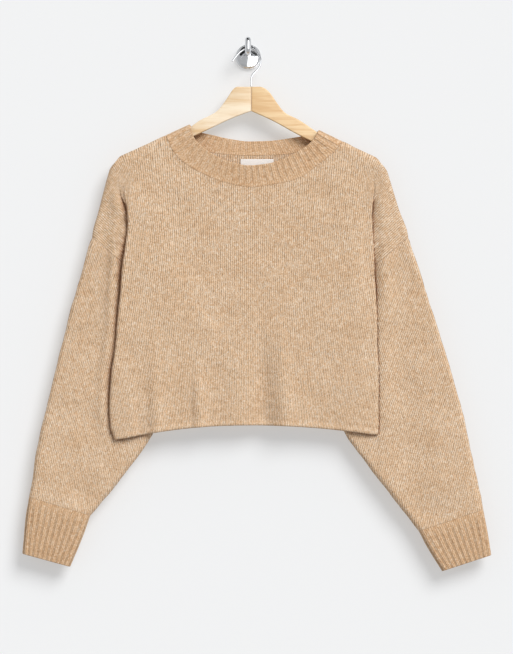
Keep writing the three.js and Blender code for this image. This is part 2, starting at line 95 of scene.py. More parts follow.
# Each side, from the shoulder down: outer edge, inner turn, outer fold, how far the fold is
# closed, and the depths of the three layers from the middle plane.
SIDE_COLUMNS = ("z", "edge", "turn", "fold", "closed", "third", "under", "over")
SIDES = {
    "left": {
        "sign": -1, "shoulder": (93, -110.4, 0.452), "hem_drop": 24,
        "rows": (
            (-167, 217, 211, 203, 0, 7.5, 7.5, 7.5),
            (-200, 227, 208, 199, 0, 7.5, 7.8, 8.6),
            (-222, 232.5, 203, 199, 0.5, 6.2, 8.3, 10.6),
            (-245, 238, 188, 195, 1, 5.1, 9, 13),
            (-291, 249, 166, 198, 1, 5, 9.5, 14),
            (-367, 157, 113, 204, 1, 5, 9.5, 14),
            (-443, 65, 59, 210, 1, 5, 9.5, 14),
            (-453, 62, 61, 211, 1, 5, 9.5, 14),
            (-520, 75, 74, 219, 1, 5, 9.5, 14),
            (-560, 81, 80, 222, 1, 5, 9.5, 14),
            (-595, 87, 86, 219, 1, 5, 9.5, 14),
            (-615, 91, 90, 212, 1, 5, 9.5, 13.5),
        ),
    },
    "right": {
        "sign": 1, "shoulder": (112, -119.6, 0.47), "hem_drop": 17,
        "rows": (
            (-169, 217, 211, 203, 0, 7.5, 7.5, 7.5),
            (-200, 227, 208, 200, 0, 7.5, 7.7, 8.2),
            (-222, 233.5, 203.5, 200, 0.5, 6, 7.9, 10),
            (-245, 240, 190, 199, 1, 5.1, 8.6, 12.1),
            (-291, 255, 170, 200, 1, 5, 8.8, 12.6),
            (-367, 163, 116, 204, 1, 5, 8.8, 12.6),
            (-443, 72, 66, 207, 1, 5, 8.8, 12.6),
            (-453, 69, 68, 207, 1, 5, 8.8, 12.6),
            (-520, 79, 78, 209, 1, 5, 8.8, 12.6),
            (-560, 84, 83, 209, 1, 5, 8.8, 12.6),
            (-595, 89, 88, 209, 1, 5, 8.8, 12.6),
            (-608, 92, 91, 207, 1, 5, 8.8, 12.6),
        ),
    },
}
# Columns outside the neck: place on the shoulder and at the hem.
SHOULDER_COLUMNS = {"left": ((-190, -198), (-160, -184)), "right": ((172, 184), (192, 196))}
# Columns inside the neck: seam on the front and back, hem, and the neckband's upper edge.
NECK_NAMES = ("x", "front", "back", "hem", "band_x", "band_front", "band_back")
NECK_COLUMNS = (
    (-132, None, None, -172, -93, None, None),
    (-122, -150, -139, -126, -88, -128, -117),
    (-104, -170, -145, -104, -78, -141, -121),
    (-72, -189, -152, -80, -57, -157, -126),
    (-36, -203, -157, -40, -30, -169, -132),
    (3, -210, -159, 5, 1, -175, -136),
    (44, -205, -158, 48, 36, -171, -135),
    (82, -195, -154, 84, 66, -160, -131),
    (109, -176, -149, 108, 90, -146, -127),
    (135, -155, -144, 134, 105, -132, -124),
    (150, None, None, 168, 112, None, None),
)
# Sleeves and cuffs: outer edge (x, z), inner edge (x, z) and half depth of the flat tube.
SLEEVES = {
    "left": (
        (249, -291, 68.6, -440, 5), (268, -352, 84, -478, 5), (288, -425, 108, -522, 5),
        (305, -492, 132, -566, 5.4), (320, -552, 158, -612, 6.2), (333, -608, 190, -657, 7.6),
        (343, -660, 223, -699, 8.6), (350, -706, 254, -735, 9),
    ),
    "right": (
        (255, -291, 75.6, -440, 5), (277, -356, 90, -478, 5), (300, -428, 112, -522, 5),
        (321, -496, 136, -566, 5), (339, -558, 160, -610, 5.2), (353, -618, 194, -657, 7.6),
        (366, -676, 236, -711, 8.6), (375, -726, 274, -760, 9),
    ),
}
CUFFS = {
    "left": (
        (350.1, -706.2, 254.1, -735.2, 8.9), (356, -750, 270, -777, 8), (360, -797, 287, -817, 7.6),
    ),
    "right": (
        (375.1, -726.2, 274.1, -760.2, 8.9), (382, -762, 292, -792, 8), (388, -799, 312, -824, 7.6),
    ),
}

# Main creases of each piece: start (x, z), end (x, z), half width, depth.
# A negative depth is a ridge. Each fades in from its start to full depth at its end.
CREASES = {
    "front": (
        (-170, -440, -168, -615, 13, 4.8),
        (-149, -450, -147, -610, 11, -5.0),
        (-103, -420, -101, -600, 13, 5.6),
        (-81, -430, -79, -600, 11, -5.2),
        (16, -370, 28, -600, 15, 8.0),
        (52, -370, 60, -600, 14, -5.8),
        (-20, -400, -18, -600, 16, -2.2),
        (118, -480, 122, -600, 14, 3.6),
        (-186, -520, -184, -610, 12, -1.8),
        (-30, -250, -60, -420, 30, 1.6),
        (60, -240, 95, -430, 32, 2.0),
    ),
    "back": (
        (-110, -450, -113, -610, 17, 3.2),
        (-30, -370, -18, -600, 19, 4.4),
        (80, -430, 86, -600, 17, 3.6),
        (150, -490, 148, -610, 14, 2.6),
        (-72, -410, -71, -600, 19, -2.6),
        (38, -410, 45, -600, 19, -2.2),
        (-160, -500, -164, -610, 15, -2.0),
    ),
}

# ------------------------------------------------------------------ knit, in millimetres
WALE = 2.85           # width of one column of stitches in the body
COURSE = 2.3          # height of one stitch
# Ribs: width, how far from the seam they rise, least and most share of their height, and
# how dark the painted shade is in their hollows and in the gaps between the stitch columns.
RIBBING = {
    "cuffs": {"width": 9.0, "rise": (4, 22), "tops": (0.7, 1.0), "hollow": 0.32, "lines": 0.5},
    "neckband": {"width": 10.5, "rise": (2, 12), "tops": (0.5, 0.95), "hollow": 0.17, "lines": 0.3},
}
RIB_COLUMNS = 3       # columns of stitches in a rib
# The columns of stitches spread towards the hem and, on the dropped shoulders, lean over
# from a pivot: spread per millimetre of height, level of true width, pivot, lean and stretch.
WALES = {"spread": 0.00078, "level": -480, "pivot": 203.0, "lean": 47, "stretch": 1.08}
LEAN_FROM, LEAN_TO = 180, 226   # the lean comes in between these distances from the centre
STEP = 2.9            # spacing of the cloth's mesh
ROW_STEP = 1.8        # spacing along the ribs
FINE_STEP = 0.95      # spacing across the ribs
EDGE_STEPS = (0, 0.35, 0.9, 1.7)   # closer lines of the mesh at a cloth edge
FREE_EDGE, SEWN_EDGE = 0.3, 0.9    # share of the full thickness at a cloth edge
# Painted shade: ambient occlusion over this distance darkens a narrow fold.
FOLD_SHADE_REACH = 14.0     # a fold narrower than this looks dark inside
NAP = 0.45            # height of the stitches and nap that only shading shows
LABEL_THREAD = 0.8    # threads of 0.25 mm are too fine to show, so they are drawn this far apart


# ------------------------------------------------------------------ small maths
def smooth(low, high, value):
    """Smooth step from 0 at low to 1 at high."""
    t = np.clip((np.asarray(value, float) - low) / (high - low), 0, 1)
    return t * t * (3 - 2 * t)


def curl(distance, radius):
    """Rounded edge: share of the full depth reached at a distance in from the edge."""
    t = np.clip(np.asarray(distance, float) / radius, 0, 1)
    return np.sqrt(1 - (1 - t) ** 2)


def side_value(side, name, z):
    """Straight-line value of one column of a side's table at a height."""
    rows = np.array(side["rows"], float)
    return np.interp(-np.asarray(z, float), -rows[:, 0], rows[:, SIDE_COLUMNS.index(name)])


def resample(points, knots, places):
    """Monotone cubic curve through points at knots, read at places, along the first axis."""
    knots = np.asarray(knots, float)
    places = np.asarray(places, float)
    span = np.diff(knots)
    shape = (-1,) + (1,) * (points.ndim - 1)
    h = span.reshape(shape)
    d = np.diff(points, axis=0) / h
    slope = np.empty_like(points)
    w1 = 2 * h[1:] + h[:-1]
    w2 = h[1:] + 2 * h[:-1]
    same = d[:-1] * d[1:] > 0
    safe_a = np.where(same, d[:-1], 1)
    safe_b = np.where(same, d[1:], 1)
    slope[1:-1] = np.where(same, (w1 + w2) / (w1 / safe_a + w2 / safe_b), 0)
    slope[0] = d[0]
    slope[-1] = d[-1]
    k = np.clip(np.searchsorted(knots, places, side="right") - 1, 0, len(span) - 1)
    t = ((places - knots[k]) / span[k]).reshape(shape)
    hk = h[k]
    return (
        points[k] * (1 + 2 * t) * (1 - t) ** 2
        + slope[k] * hk * t * (1 - t) ** 2
        + points[k + 1] * t * t * (3 - 2 * t)
        + slope[k + 1] * hk * t * t * (t - 1)
    )


def chord_knots(grid):
    """Running mean length between the rows of a grid."""
    steps = np.linalg.norm(np.diff(grid, axis=0), axis=2).mean(axis=1)
    return np.concatenate(([0], np.cumsum(np.maximum(steps, 0.02))))


def places_along(total, step):
    """Even places along a length, with closer ones at its two ends."""
    count = max(int(round(total / step)), 4)
    places = list(np.linspace(0, total, count + 1))
    for edge in EDGE_STEPS:
        if edge < step * 0.75:
            places += [edge, total - edge]
    return np.unique(np.round(places, 4))


def ripple(x, z, size, seed, waves=14):
    """Soft uneven field of about unit height, from seeded sine waves of one size."""
    source = np.random.default_rng(seed)
    total = np.zeros(np.broadcast(x, z).shape)
    for _ in range(waves):
        angle = source.uniform(0, 2 * math.pi)
        length = size * source.uniform(0.7, 1.5)
        phase = source.uniform(0, 2 * math.pi)
        total += np.sin(2 * math.pi * (x * math.cos(angle) + z * math.sin(angle)) / length + phase)
    return total / math.sqrt(waves)


# ------------------------------------------------------------------ the panels' form
def shoulder_line(x):
    """Height of the fabric's top edge at a place across the body."""
    x = np.asarray(x, float)
    heights = []
    for name in ("left", "right"):
        x0, z0, slope = SIDES[name]["shoulder"]
        heights.append(z0 - (np.abs(x) - x0) * slope)
    return np.where(x < 0, heights[0], heights[1])


def hem_line(x):
    """Height of the hem at a place across the body: it sags towards both side folds."""
    x = np.asarray(x, float)
    drop = np.where(x < 0, SIDES["left"]["hem_drop"], SIDES["right"]["hem_drop"])
    return HEM_Z - drop * (x / HEM_REACH) ** 2


def row_heights(side):
    """Rows of one side: height, distance along the armhole seam or None, below the armhole."""
    first = side["rows"][0][0]
    last = side["rows"][-1][0]
    drop = UNDERARM_Z - SHOULDER_Z
    run = side_value(side, "edge", SHOULDER_Z) - side_value(side, "edge", UNDERARM_Z)
    length = math.hypot(run, drop)
    rows = [(first - step, None, False) for step in LIP]
    rows += [(row[0], None, False) for row in side["rows"][1:4]]
    rows += [(SHOULDER_Z + drop * step / length, step, False) for step in LIP]
    rows += [(SHOULDER_Z + drop * share, share * length, False) for share in (0.25, 0.5, 0.75)]
    rows += [(SHOULDER_Z + drop * (length - s) / length, s, False) for s in LIP[:0:-1]]
    rows += [(UNDERARM_Z, None, True)]
    rows += [(UNDERARM_Z + (last - UNDERARM_Z) * share, None, True) for share in LOWER_ROWS]
    return rows


def side_section(side, row):
    """One side's section at a row, from its outer edge to the outer fold: (a, depth, layer)."""
    z, seam, low = row
    edge, turn, fold, closed, third, under, over = (
        float(side_value(side, name, z)) for name in SIDE_COLUMNS[1:]
    )
    spread = 2 * closed - 1
    points = []
    for step in LIP:
        if low:
            points.append((edge - step * SEAM_TURN["in"],
                           EDGE_DEPTH + step * SEAM_TURN["deep"], 1))
        else:
            room = min(step, (edge - turn - BEND) * step / (LIP[-1] + 1))
            reach = step if seam is None else seam + step
            points.append((edge - room, max(third * float(curl(reach, third)), EDGE_DEPTH), 1))
    points.append((turn + 0.3 if low else turn + BEND, third, 1))
    points.append((turn, (third + under) / 2, 0.95))
    points.append((turn + BEND * spread, under, 0.9))
    points.append((fold - BEND * spread, under, 0.1))
    points.append((fold, (under + over) / 2, 0.05))
    points.append((fold - BEND, over, 0))
    return points


def main_depth(x, z, share):
    """Depth of the main layer of a panel, held clear of the folded layer that it covers."""
    side = SIDES["left"] if x < 0 else SIDES["right"]
    first = side["rows"][0][0]
    side_z = first + (side["rows"][-1][0] - first) * share
    over = float(side_value(side, "over", side_z))
    reach = min(abs(x) / float(side_value(side, "fold", side_z)), 1)
    middle = NECK_DEPTH + 2 * float(smooth(0.3, 1, share))
    depth = middle + (over - middle) * reach ** 4
    covers, clear = cover(side, np.abs(x), z)
    low = COVER_LIFT["height"] * float(smooth(-COVER_LIFT["from"], -HEM_Z, -z))
    depth += max(float(clear) + low - depth, 0) * float(covers)
    return depth * float(curl((shoulder_line(x) - z) * SLOPE_COSINE, TOP_DEPTH))


def cover(side, a, z):
    """How far a place lies over the folded layer, from 0 to 1, and the depth that clears it."""
    turn = side_value(side, "turn", z)
    share = np.clip((a - turn + COVER_RISE) / (COVER_RISE - BEND), 0, 1)
    covers = side_value(side, "closed", z) * share * share * (3 - 2 * share)
    return covers, side_value(side, "under", z) + CLOTH + LAYER_GAP


def neck_columns(name):
    """Neck columns with their heights, and extra ones where the seam curls at the shoulders."""
    band = "band_front" if name == "front" else "band_back"
    columns = []
    for values in NECK_COLUMNS:
        row = dict(zip(NECK_NAMES, values))
        seam = shoulder_line(row["x"]) if row[name] is None else row[name]
        top = shoulder_line(row["band_x"]) if row[band] is None else row[band]
        columns.append(np.array([row["x"], seam, row["hem"], row["band_x"], top], float))

    def extra(end, following):
        shares = [step / ((shoulder_line(following[0]) - following[1]) * SLOPE_COSINE)
                  for step in LIP[1:]]
        return [end + (following - end) * share for share in shares]

    return (
        [columns[0]] + extra(columns[0], columns[1]) + columns[1:-1]
        + extra(columns[-1], columns[-2])[::-1] + [columns[-1]]
    )


def layer_point(x, z, depth, face):
    """Point of a layer at a depth from the middle plane, before (1) or behind (-1) it."""
    return (x, MID_Y - face * depth, z)


def round_corners(grid):
    """Rounds the corner of the shoulder, where the shoulder line meets the outer edge."""
    for side in SIDES.values():
        a = grid[:, :, 0] * side["sign"]
        z = grid[:, :, 2]
        slope = side["shoulder"][2]
        # The outer edge is straight from the shoulder line down to the fourth row.
        drop = side["rows"][3][0] - side["rows"][0][0]
        out = side["rows"][3][1] - side["rows"][0][1]
        edge = math.hypot(drop, out)
        # Distances in from the shoulder line and from the outer edge, as shares of the radius.
        top = (shoulder_line(grid[:, :, 0]) - z) * SLOPE_COSINE
        side_in = (side_value(side, "edge", z) - a) * -drop / edge
        u = np.clip(1 - top / CORNER["radius"], 0, 1)
        v = np.clip(1 - side_in / CORNER["radius"], 0, 1)
        pull_u = (u - u * np.sqrt(1 - v * v / 2)) * CORNER["radius"]
        pull_v = (v - v * np.sqrt(1 - u * u / 2)) * CORNER["radius"]
        near = (a > CORNER["x"]) & (z > CORNER["z"])
        grid[:, :, 0] += np.where(
            near, -side["sign"] * (pull_u * slope * SLOPE_COSINE + pull_v * -drop / edge), 0)
        grid[:, :, 2] += np.where(near, -pull_u * SLOPE_COSINE - pull_v * out / edge, 0)


def panel_control(name, face):
    """Control points of a panel, and the layer (0 main, 1 beyond the folds) of each column."""
    rows = {key: row_heights(side) for key, side in SIDES.items()}
    inner = [(x, float(shoulder_line(x)), hem) for x, hem in SHOULDER_COLUMNS["left"]]
    inner += [tuple(column[:3]) for column in neck_columns(name)]
    inner += [(x, float(shoulder_line(x)), hem) for x, hem in SHOULDER_COLUMNS["right"]]

    def side_points(key, index):
        side = SIDES[key]
        row = rows[key][index]
        first = side["rows"][0][0]
        last = side["rows"][-1][0]
        fade = max(1 - (first - row[0]) / 70, 0)
        low = max((UNDERARM_Z - row[0]) / (UNDERARM_Z - last), 0) ** 2
        points, layers = [], []
        for a, depth, layer in side_section(side, row):
            x = side["sign"] * a
            rise = (float(shoulder_line(x)) - first) * fade
            lift = (float(hem_line(x)) - last + 1) * low
            z = row[0] + rise + lift
            full = depth * float(curl(shoulder_line(x) - z, TOP_DEPTH))
            points.append(layer_point(x, z, max(full, EDGE_DEPTH), face))
            layers.append(layer)
        return points, layers

    grid = []
    for index, row in enumerate(rows["left"]):
        first = SIDES["left"]["rows"][0][0]
        share = (first - row[0]) / (first - SIDES["left"]["rows"][-1][0])
        main = []
        for top_x, top, hem in inner:
            x = top_x + (hem - top_x) * share
            z = top + (float(hem_line(hem)) - top) * share
            main.append(layer_point(x, z, max(main_depth(x, z, share), EDGE_DEPTH), face))
        left, left_layers = side_points("left", index)
        right, right_layers = side_points("right", index)
        grid.append(left + main + right[::-1])
    layers = left_layers + [0] * len(inner) + right_layers[::-1]
    return np.array(grid, float), np.array(layers, float)


def wale_lines(x, z, layer):
    """Knit coordinates of a panel: across and along the columns of stitches."""
    across = np.zeros_like(x)
    along = np.zeros_like(x)
    a = np.abs(x)
    lean = math.radians(WALES["lean"])
    px = WALES["pivot"]
    for side in SIDES.values():
        here = x * side["sign"] >= 0
        straight = a / (1 + WALES["spread"] * (z - WALES["level"]))
        pz = float(side["rows"][0][0])
        start = px / (1 + WALES["spread"] * (pz - WALES["level"]))
        turned = (math.cos(lean) * (a - px) - math.sin(lean) * (z - pz)) / WALES["stretch"]
        turned = start + turned
        turned_along = pz + math.sin(lean) * (a - px) + math.cos(lean) * (z - pz)
        closed = side_value(side, "closed", z)
        share = smooth(LEAN_FROM, LEAN_TO, a) * (1 - closed) + smooth(0, 1, layer) * closed
        across = np.where(here, side["sign"] * (straight + (turned - straight) * share), across)
        along = np.where(here, z + (turned_along - z) * share, along)
    return across, along


def crease_depth(x, z, creases):
    """Depth of the listed creases: each a soft trough that deepens towards its end."""
    total = np.zeros_like(x)
    for x0, z0, x1, z1, width, depth in creases:
        length = math.hypot(x1 - x0, z1 - z0)
        ux, uz = (x1 - x0) / length, (z1 - z0) / length
        run = (x - x0) * ux + (z - z0) * uz
        away = (x - x0) * uz - (z - z0) * ux
        spread = width * (0.75 + 0.35 * np.clip(run / length, 0, 1))
        total += depth * smooth(0, length, run) * np.exp(-((away / spread) ** 2))
    return total


def keep_clear(cloth, face, main):
    """Lifts the main layer back to where it clears the folded layer under it."""
    depth = (MID_Y - cloth.grid[:, :, 1]) * face
    for side in SIDES.values():
        here = (cloth.x * side["sign"] > 0) & (main > 0.99)
        covers, clear = cover(side, np.abs(cloth.x), cloth.z)
        top = curl((shoulder_line(cloth.x) - cloth.z) * SLOPE_COSINE, TOP_DEPTH)
        depth = np.where(here, np.maximum(depth, clear * covers * top), depth)
    cloth.grid[:, :, 1] = MID_Y - face * depth


# ------------------------------------------------------------------ meshes
def open_distance(places):
    """Distance from each place to the nearer end of its length."""
    return np.minimum(places, places[-1] - places)


class Cloth:
    """A cloth wall on a fine grid of mid-surface points, with its knit coordinates."""

    def __init__(self, control, row_step, column_step, closed=False):
        self.closed = closed
        if closed:
            wrapped = np.concatenate((control[:, -3:], control, control[:, :4]), axis=1)
            knots = chord_knots(wrapped.transpose(1, 0, 2))
            start, end = knots[3], knots[3 + control.shape[1]]
            count = int(round((end - start) / column_step))
            self.column_places = np.linspace(start, end, count, endpoint=False)
            columns = resample(wrapped.transpose(1, 0, 2), knots, self.column_places)
            self.column_places = self.column_places - start
            self.girth = end - start
            self.column_knots = knots[3:4 + control.shape[1]] - start
        else:
            self.column_knots = chord_knots(control.transpose(1, 0, 2))
            total = self.column_knots[-1]
            self.column_places = places_along(total, column_step)
            columns = resample(control.transpose(1, 0, 2), self.column_knots, self.column_places)
            self.girth = total
        grid = columns.transpose(1, 0, 2)
        self.row_knots = chord_knots(grid)
        self.row_places = places_along(self.row_knots[-1], row_step)
        self.grid = resample(grid, self.row_knots, self.row_places)
        rows = open_distance(self.row_places)[:, None]
        if closed:
            self.rim = np.broadcast_to(rows, self.grid.shape[:2]).copy()
        else:
            self.rim = np.minimum(rows, open_distance(self.column_places)[None, :])
        self.from_end = (self.row_places[-1] - self.row_places)[:, None]
        self.from_start = self.row_places[:, None]
        # 1 where an edge is sewn and keeps its full thickness, 0 where it is free and rounded.
        self.full_edge = np.zeros(self.rim.shape)
        self.lift = {1: np.zeros(self.rim.shape), -1: np.zeros(self.rim.shape)}

    @property
    def x(self):
        """Places across the body of all points."""
        return self.grid[:, :, 0]

    @property
    def z(self):
        """Heights of all points."""
        return self.grid[:, :, 2]

    def normals(self):
        """Unit normals of the mid-surface at all points."""
        if self.closed:
            along = np.roll(self.grid, -1, axis=1) - np.roll(self.grid, 1, axis=1)
        else:
            along = np.gradient(self.grid, axis=1)
        down = np.gradient(self.grid, axis=0)
        normal = np.cross(along, down)
        return normal / np.maximum(np.linalg.norm(normal, axis=2, keepdims=True), 1e-9)

    def walls(self, outward, face=0):
        """Outer and inner surfaces. outward is the sign of the normal on the outer side."""
        normal = self.normals() * outward
        least = FREE_EDGE + self.full_edge * (SEWN_EDGE - FREE_EDGE)
        rim = least + (1 - least) * curl(self.rim, CLOTH / 2)
        surfaces = []
        for way in (1, -1):
            reach = (CLOTH / 2 + self.lift[way]) * rim
            points = self.grid + normal * (way * reach)[:, :, None]
            if face:
                depth = np.maximum((MID_Y - points[:, :, 1]) * face, EDGE_DEPTH)
                points[:, :, 1] = MID_Y - face * depth
            surfaces.append(points)
        return surfaces

    def mesh(self, name, outward, knit, face=0):
        """Closed mesh with the knit map in millimetres and an even map of its own."""
        outer, inner = self.walls(outward, face)
        rows, columns = self.rim.shape
        points = np.concatenate((outer.reshape(-1, 3), inner.reshape(-1, 3)))
        across, along = knit
        if self.closed:
            step = across[:, -1:] - across[:, -2:-1]
            across = np.concatenate((across, across[:, -1:] + step), axis=1)
            along = np.concatenate((along, along[:, :1]), axis=1)
        share_c = np.append(self.column_places, self.girth)[: across.shape[1]] / self.girth
        share_r = self.row_places / self.row_places[-1]
        pad, rim = 0.012, 0.006   # margins of the even map, and the cloth edge's share of it
        wide = pad + share_c * (1 - 2 * pad)
        maps = {
            0: (wide, 1 - pad - share_r * (0.5 - 2 * pad)),
            1: (wide, 0.5 - pad - share_r * (0.5 - 2 * pad)),
        }
        count = rows * columns
        last = columns if self.closed else columns - 1
        i, j = np.meshgrid(np.arange(rows - 1), np.arange(last), indexing="ij")
        i, j = i.ravel(), j.ravel()
        faces, knits, bakes = [], [], []

        def add(corners):
            """corners: four tuples of row, column, side (0 outer, 1 inner) and rim shift."""
            faces.append(np.stack([c[2] * count + c[0] * columns + c[1] % columns
                                   for c in corners], axis=1))
            knits.append(np.stack([np.stack((across[c[0], c[1]], along[c[0], c[1]]), axis=-1)
                                   for c in corners], axis=1))
            bakes.append(np.stack([
                np.stack((maps[c[4]][0][c[1]] + c[3][0], maps[c[4]][1][c[0]] + c[3][1]), axis=-1)
                for c in corners], axis=1))

        none = (0.0, 0.0)
        for side in (0, 1):
            square = [(i, j, side, none, side), (i, j + 1, side, none, side),
                      (i + 1, j + 1, side, none, side), (i + 1, j, side, none, side)]
            add(square if side == 0 else square[::-1])
        j = np.arange(last)
        for row, shift in ((0, (0.0, rim)), (rows - 1, (0.0, -rim))):
            i = np.full(last, row)
            strip = [(i, j, 0, none, 0), (i, j, 1, shift, 0),
                     (i, j + 1, 1, shift, 0), (i, j + 1, 0, none, 0)]
            add(strip if row == 0 else strip[::-1])
        if not self.closed:
            i = np.arange(rows - 1)
            for column, shift in ((0, (-rim, 0.0)), (columns - 1, (rim, 0.0))):
                j = np.full(rows - 1, column)
                strip = [(i, j, 0, none, 0), (i + 1, j, 0, none, 0),
                         (i + 1, j, 1, shift, 0), (i, j, 1, shift, 0)]
                add(strip if column == 0 else strip[::-1])
        return solid(name, points, np.concatenate(faces), {
            "Knit": np.concatenate(knits), "OFBake": np.concatenate(bakes),
        })


def solid(name, points, faces, maps):
    """Mesh object from points in millimetres and four-sided faces, turned outward."""
    a, b, c, d = (points[faces[:, k]] for k in range(4))
    volume = (np.einsum("ij,ij->i", a, np.cross(b, c)).sum()
              + np.einsum("ij,ij->i", a, np.cross(c, d)).sum())
    if volume < 0:
        faces = faces[:, ::-1]
        maps = {key: value[:, ::-1] for key, value in maps.items()}
    mesh = bpy.data.meshes.new(name)
    mesh.vertices.add(len(points))
    mesh.vertices.foreach_set("co", (points * MM).astype(np.float32).ravel())
    mesh.loops.add(faces.size)
    mesh.loops.foreach_set("vertex_index", faces.astype(np.int32).ravel())
    mesh.polygons.add(len(faces))
    mesh.polygons.foreach_set("loop_start", np.arange(0, faces.size, 4, dtype=np.int32))
    mesh.polygons.foreach_set("use_smooth", np.ones(len(faces), bool))
    mesh.update(calc_edges=True)
    for key, value in maps.items():
        layer = mesh.uv_layers.new(name=key, do_init=False)
        layer.uv.foreach_set("vector", value.astype(np.float32).ravel())
    mesh.validate()
    return add_object(name, mesh)


def add_object(name, data):
    """Object of a mesh, light, curve or camera, linked into the scene."""
    item = bpy.data.objects.new(name, data)
    bpy.context.scene.collection.objects.link(item)
    return item


def finish_piece(piece, material, slot, *nodes):
    """Gives a piece its material and its place in the frame, and hides the CAD parts it stands for.
    """
    piece.data.materials.clear()
    piece.data.materials.append(material)
    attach(piece, BODY)
    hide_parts(*nodes)


def settings():
    """The scene's settings for the knit, and for the hanger, hook and stage."""
    return bpy.context.scene.jumper_knit, bpy.context.scene.jumper_fittings


# ------------------------------------------------------------------ materials
MATH = "ShaderNodeMath"
VECTOR_MATH = "ShaderNodeVectorMath"
NOISE = "ShaderNodeTexNoise"
RAMP = "ShaderNodeValToRGB"


def linear(code):
    """Linear colour from an sRGB hex value."""
    values = [int(code[k:k + 2], 16) / 255 for k in (1, 3, 5)]
    return [v / 12.92 if v <= 0.04045 else ((v + 0.055) / 1.055) ** 2.4 for v in values] + [1]


def add_node(tree, kind, inputs=None, stops=(), **values):
    """Adds a shader node with its properties and ramp stops, and sets or links its inputs.

    An input is a value, a socket, or a node, which links by its first output.
    """
    node = tree.nodes.new(kind)
    for key, value in values.items():
        setattr(node, key, value)
    for key, value in (inputs or {}).items():
        if isinstance(value, bpy.types.Node):
            value = value.outputs[0]
        if isinstance(value, bpy.types.NodeSocket):
            tree.links.new(value, node.inputs[key])
        else:
            node.inputs[key].default_value = value
    if stops:
        elements = node.color_ramp.elements
        while len(elements) < len(stops):
            elements.new(0.5)
        for element, (place, colour) in zip(elements, stops):
            element.position = place
            element.color = colour
    return node


def new_material(name):
    """Empty material, and a function that adds nodes to it."""
    material = bpy.data.materials.new(name)
    material.use_nodes = True
    material.node_tree.nodes.clear()
    return material, partial(add_node, material.node_tree)


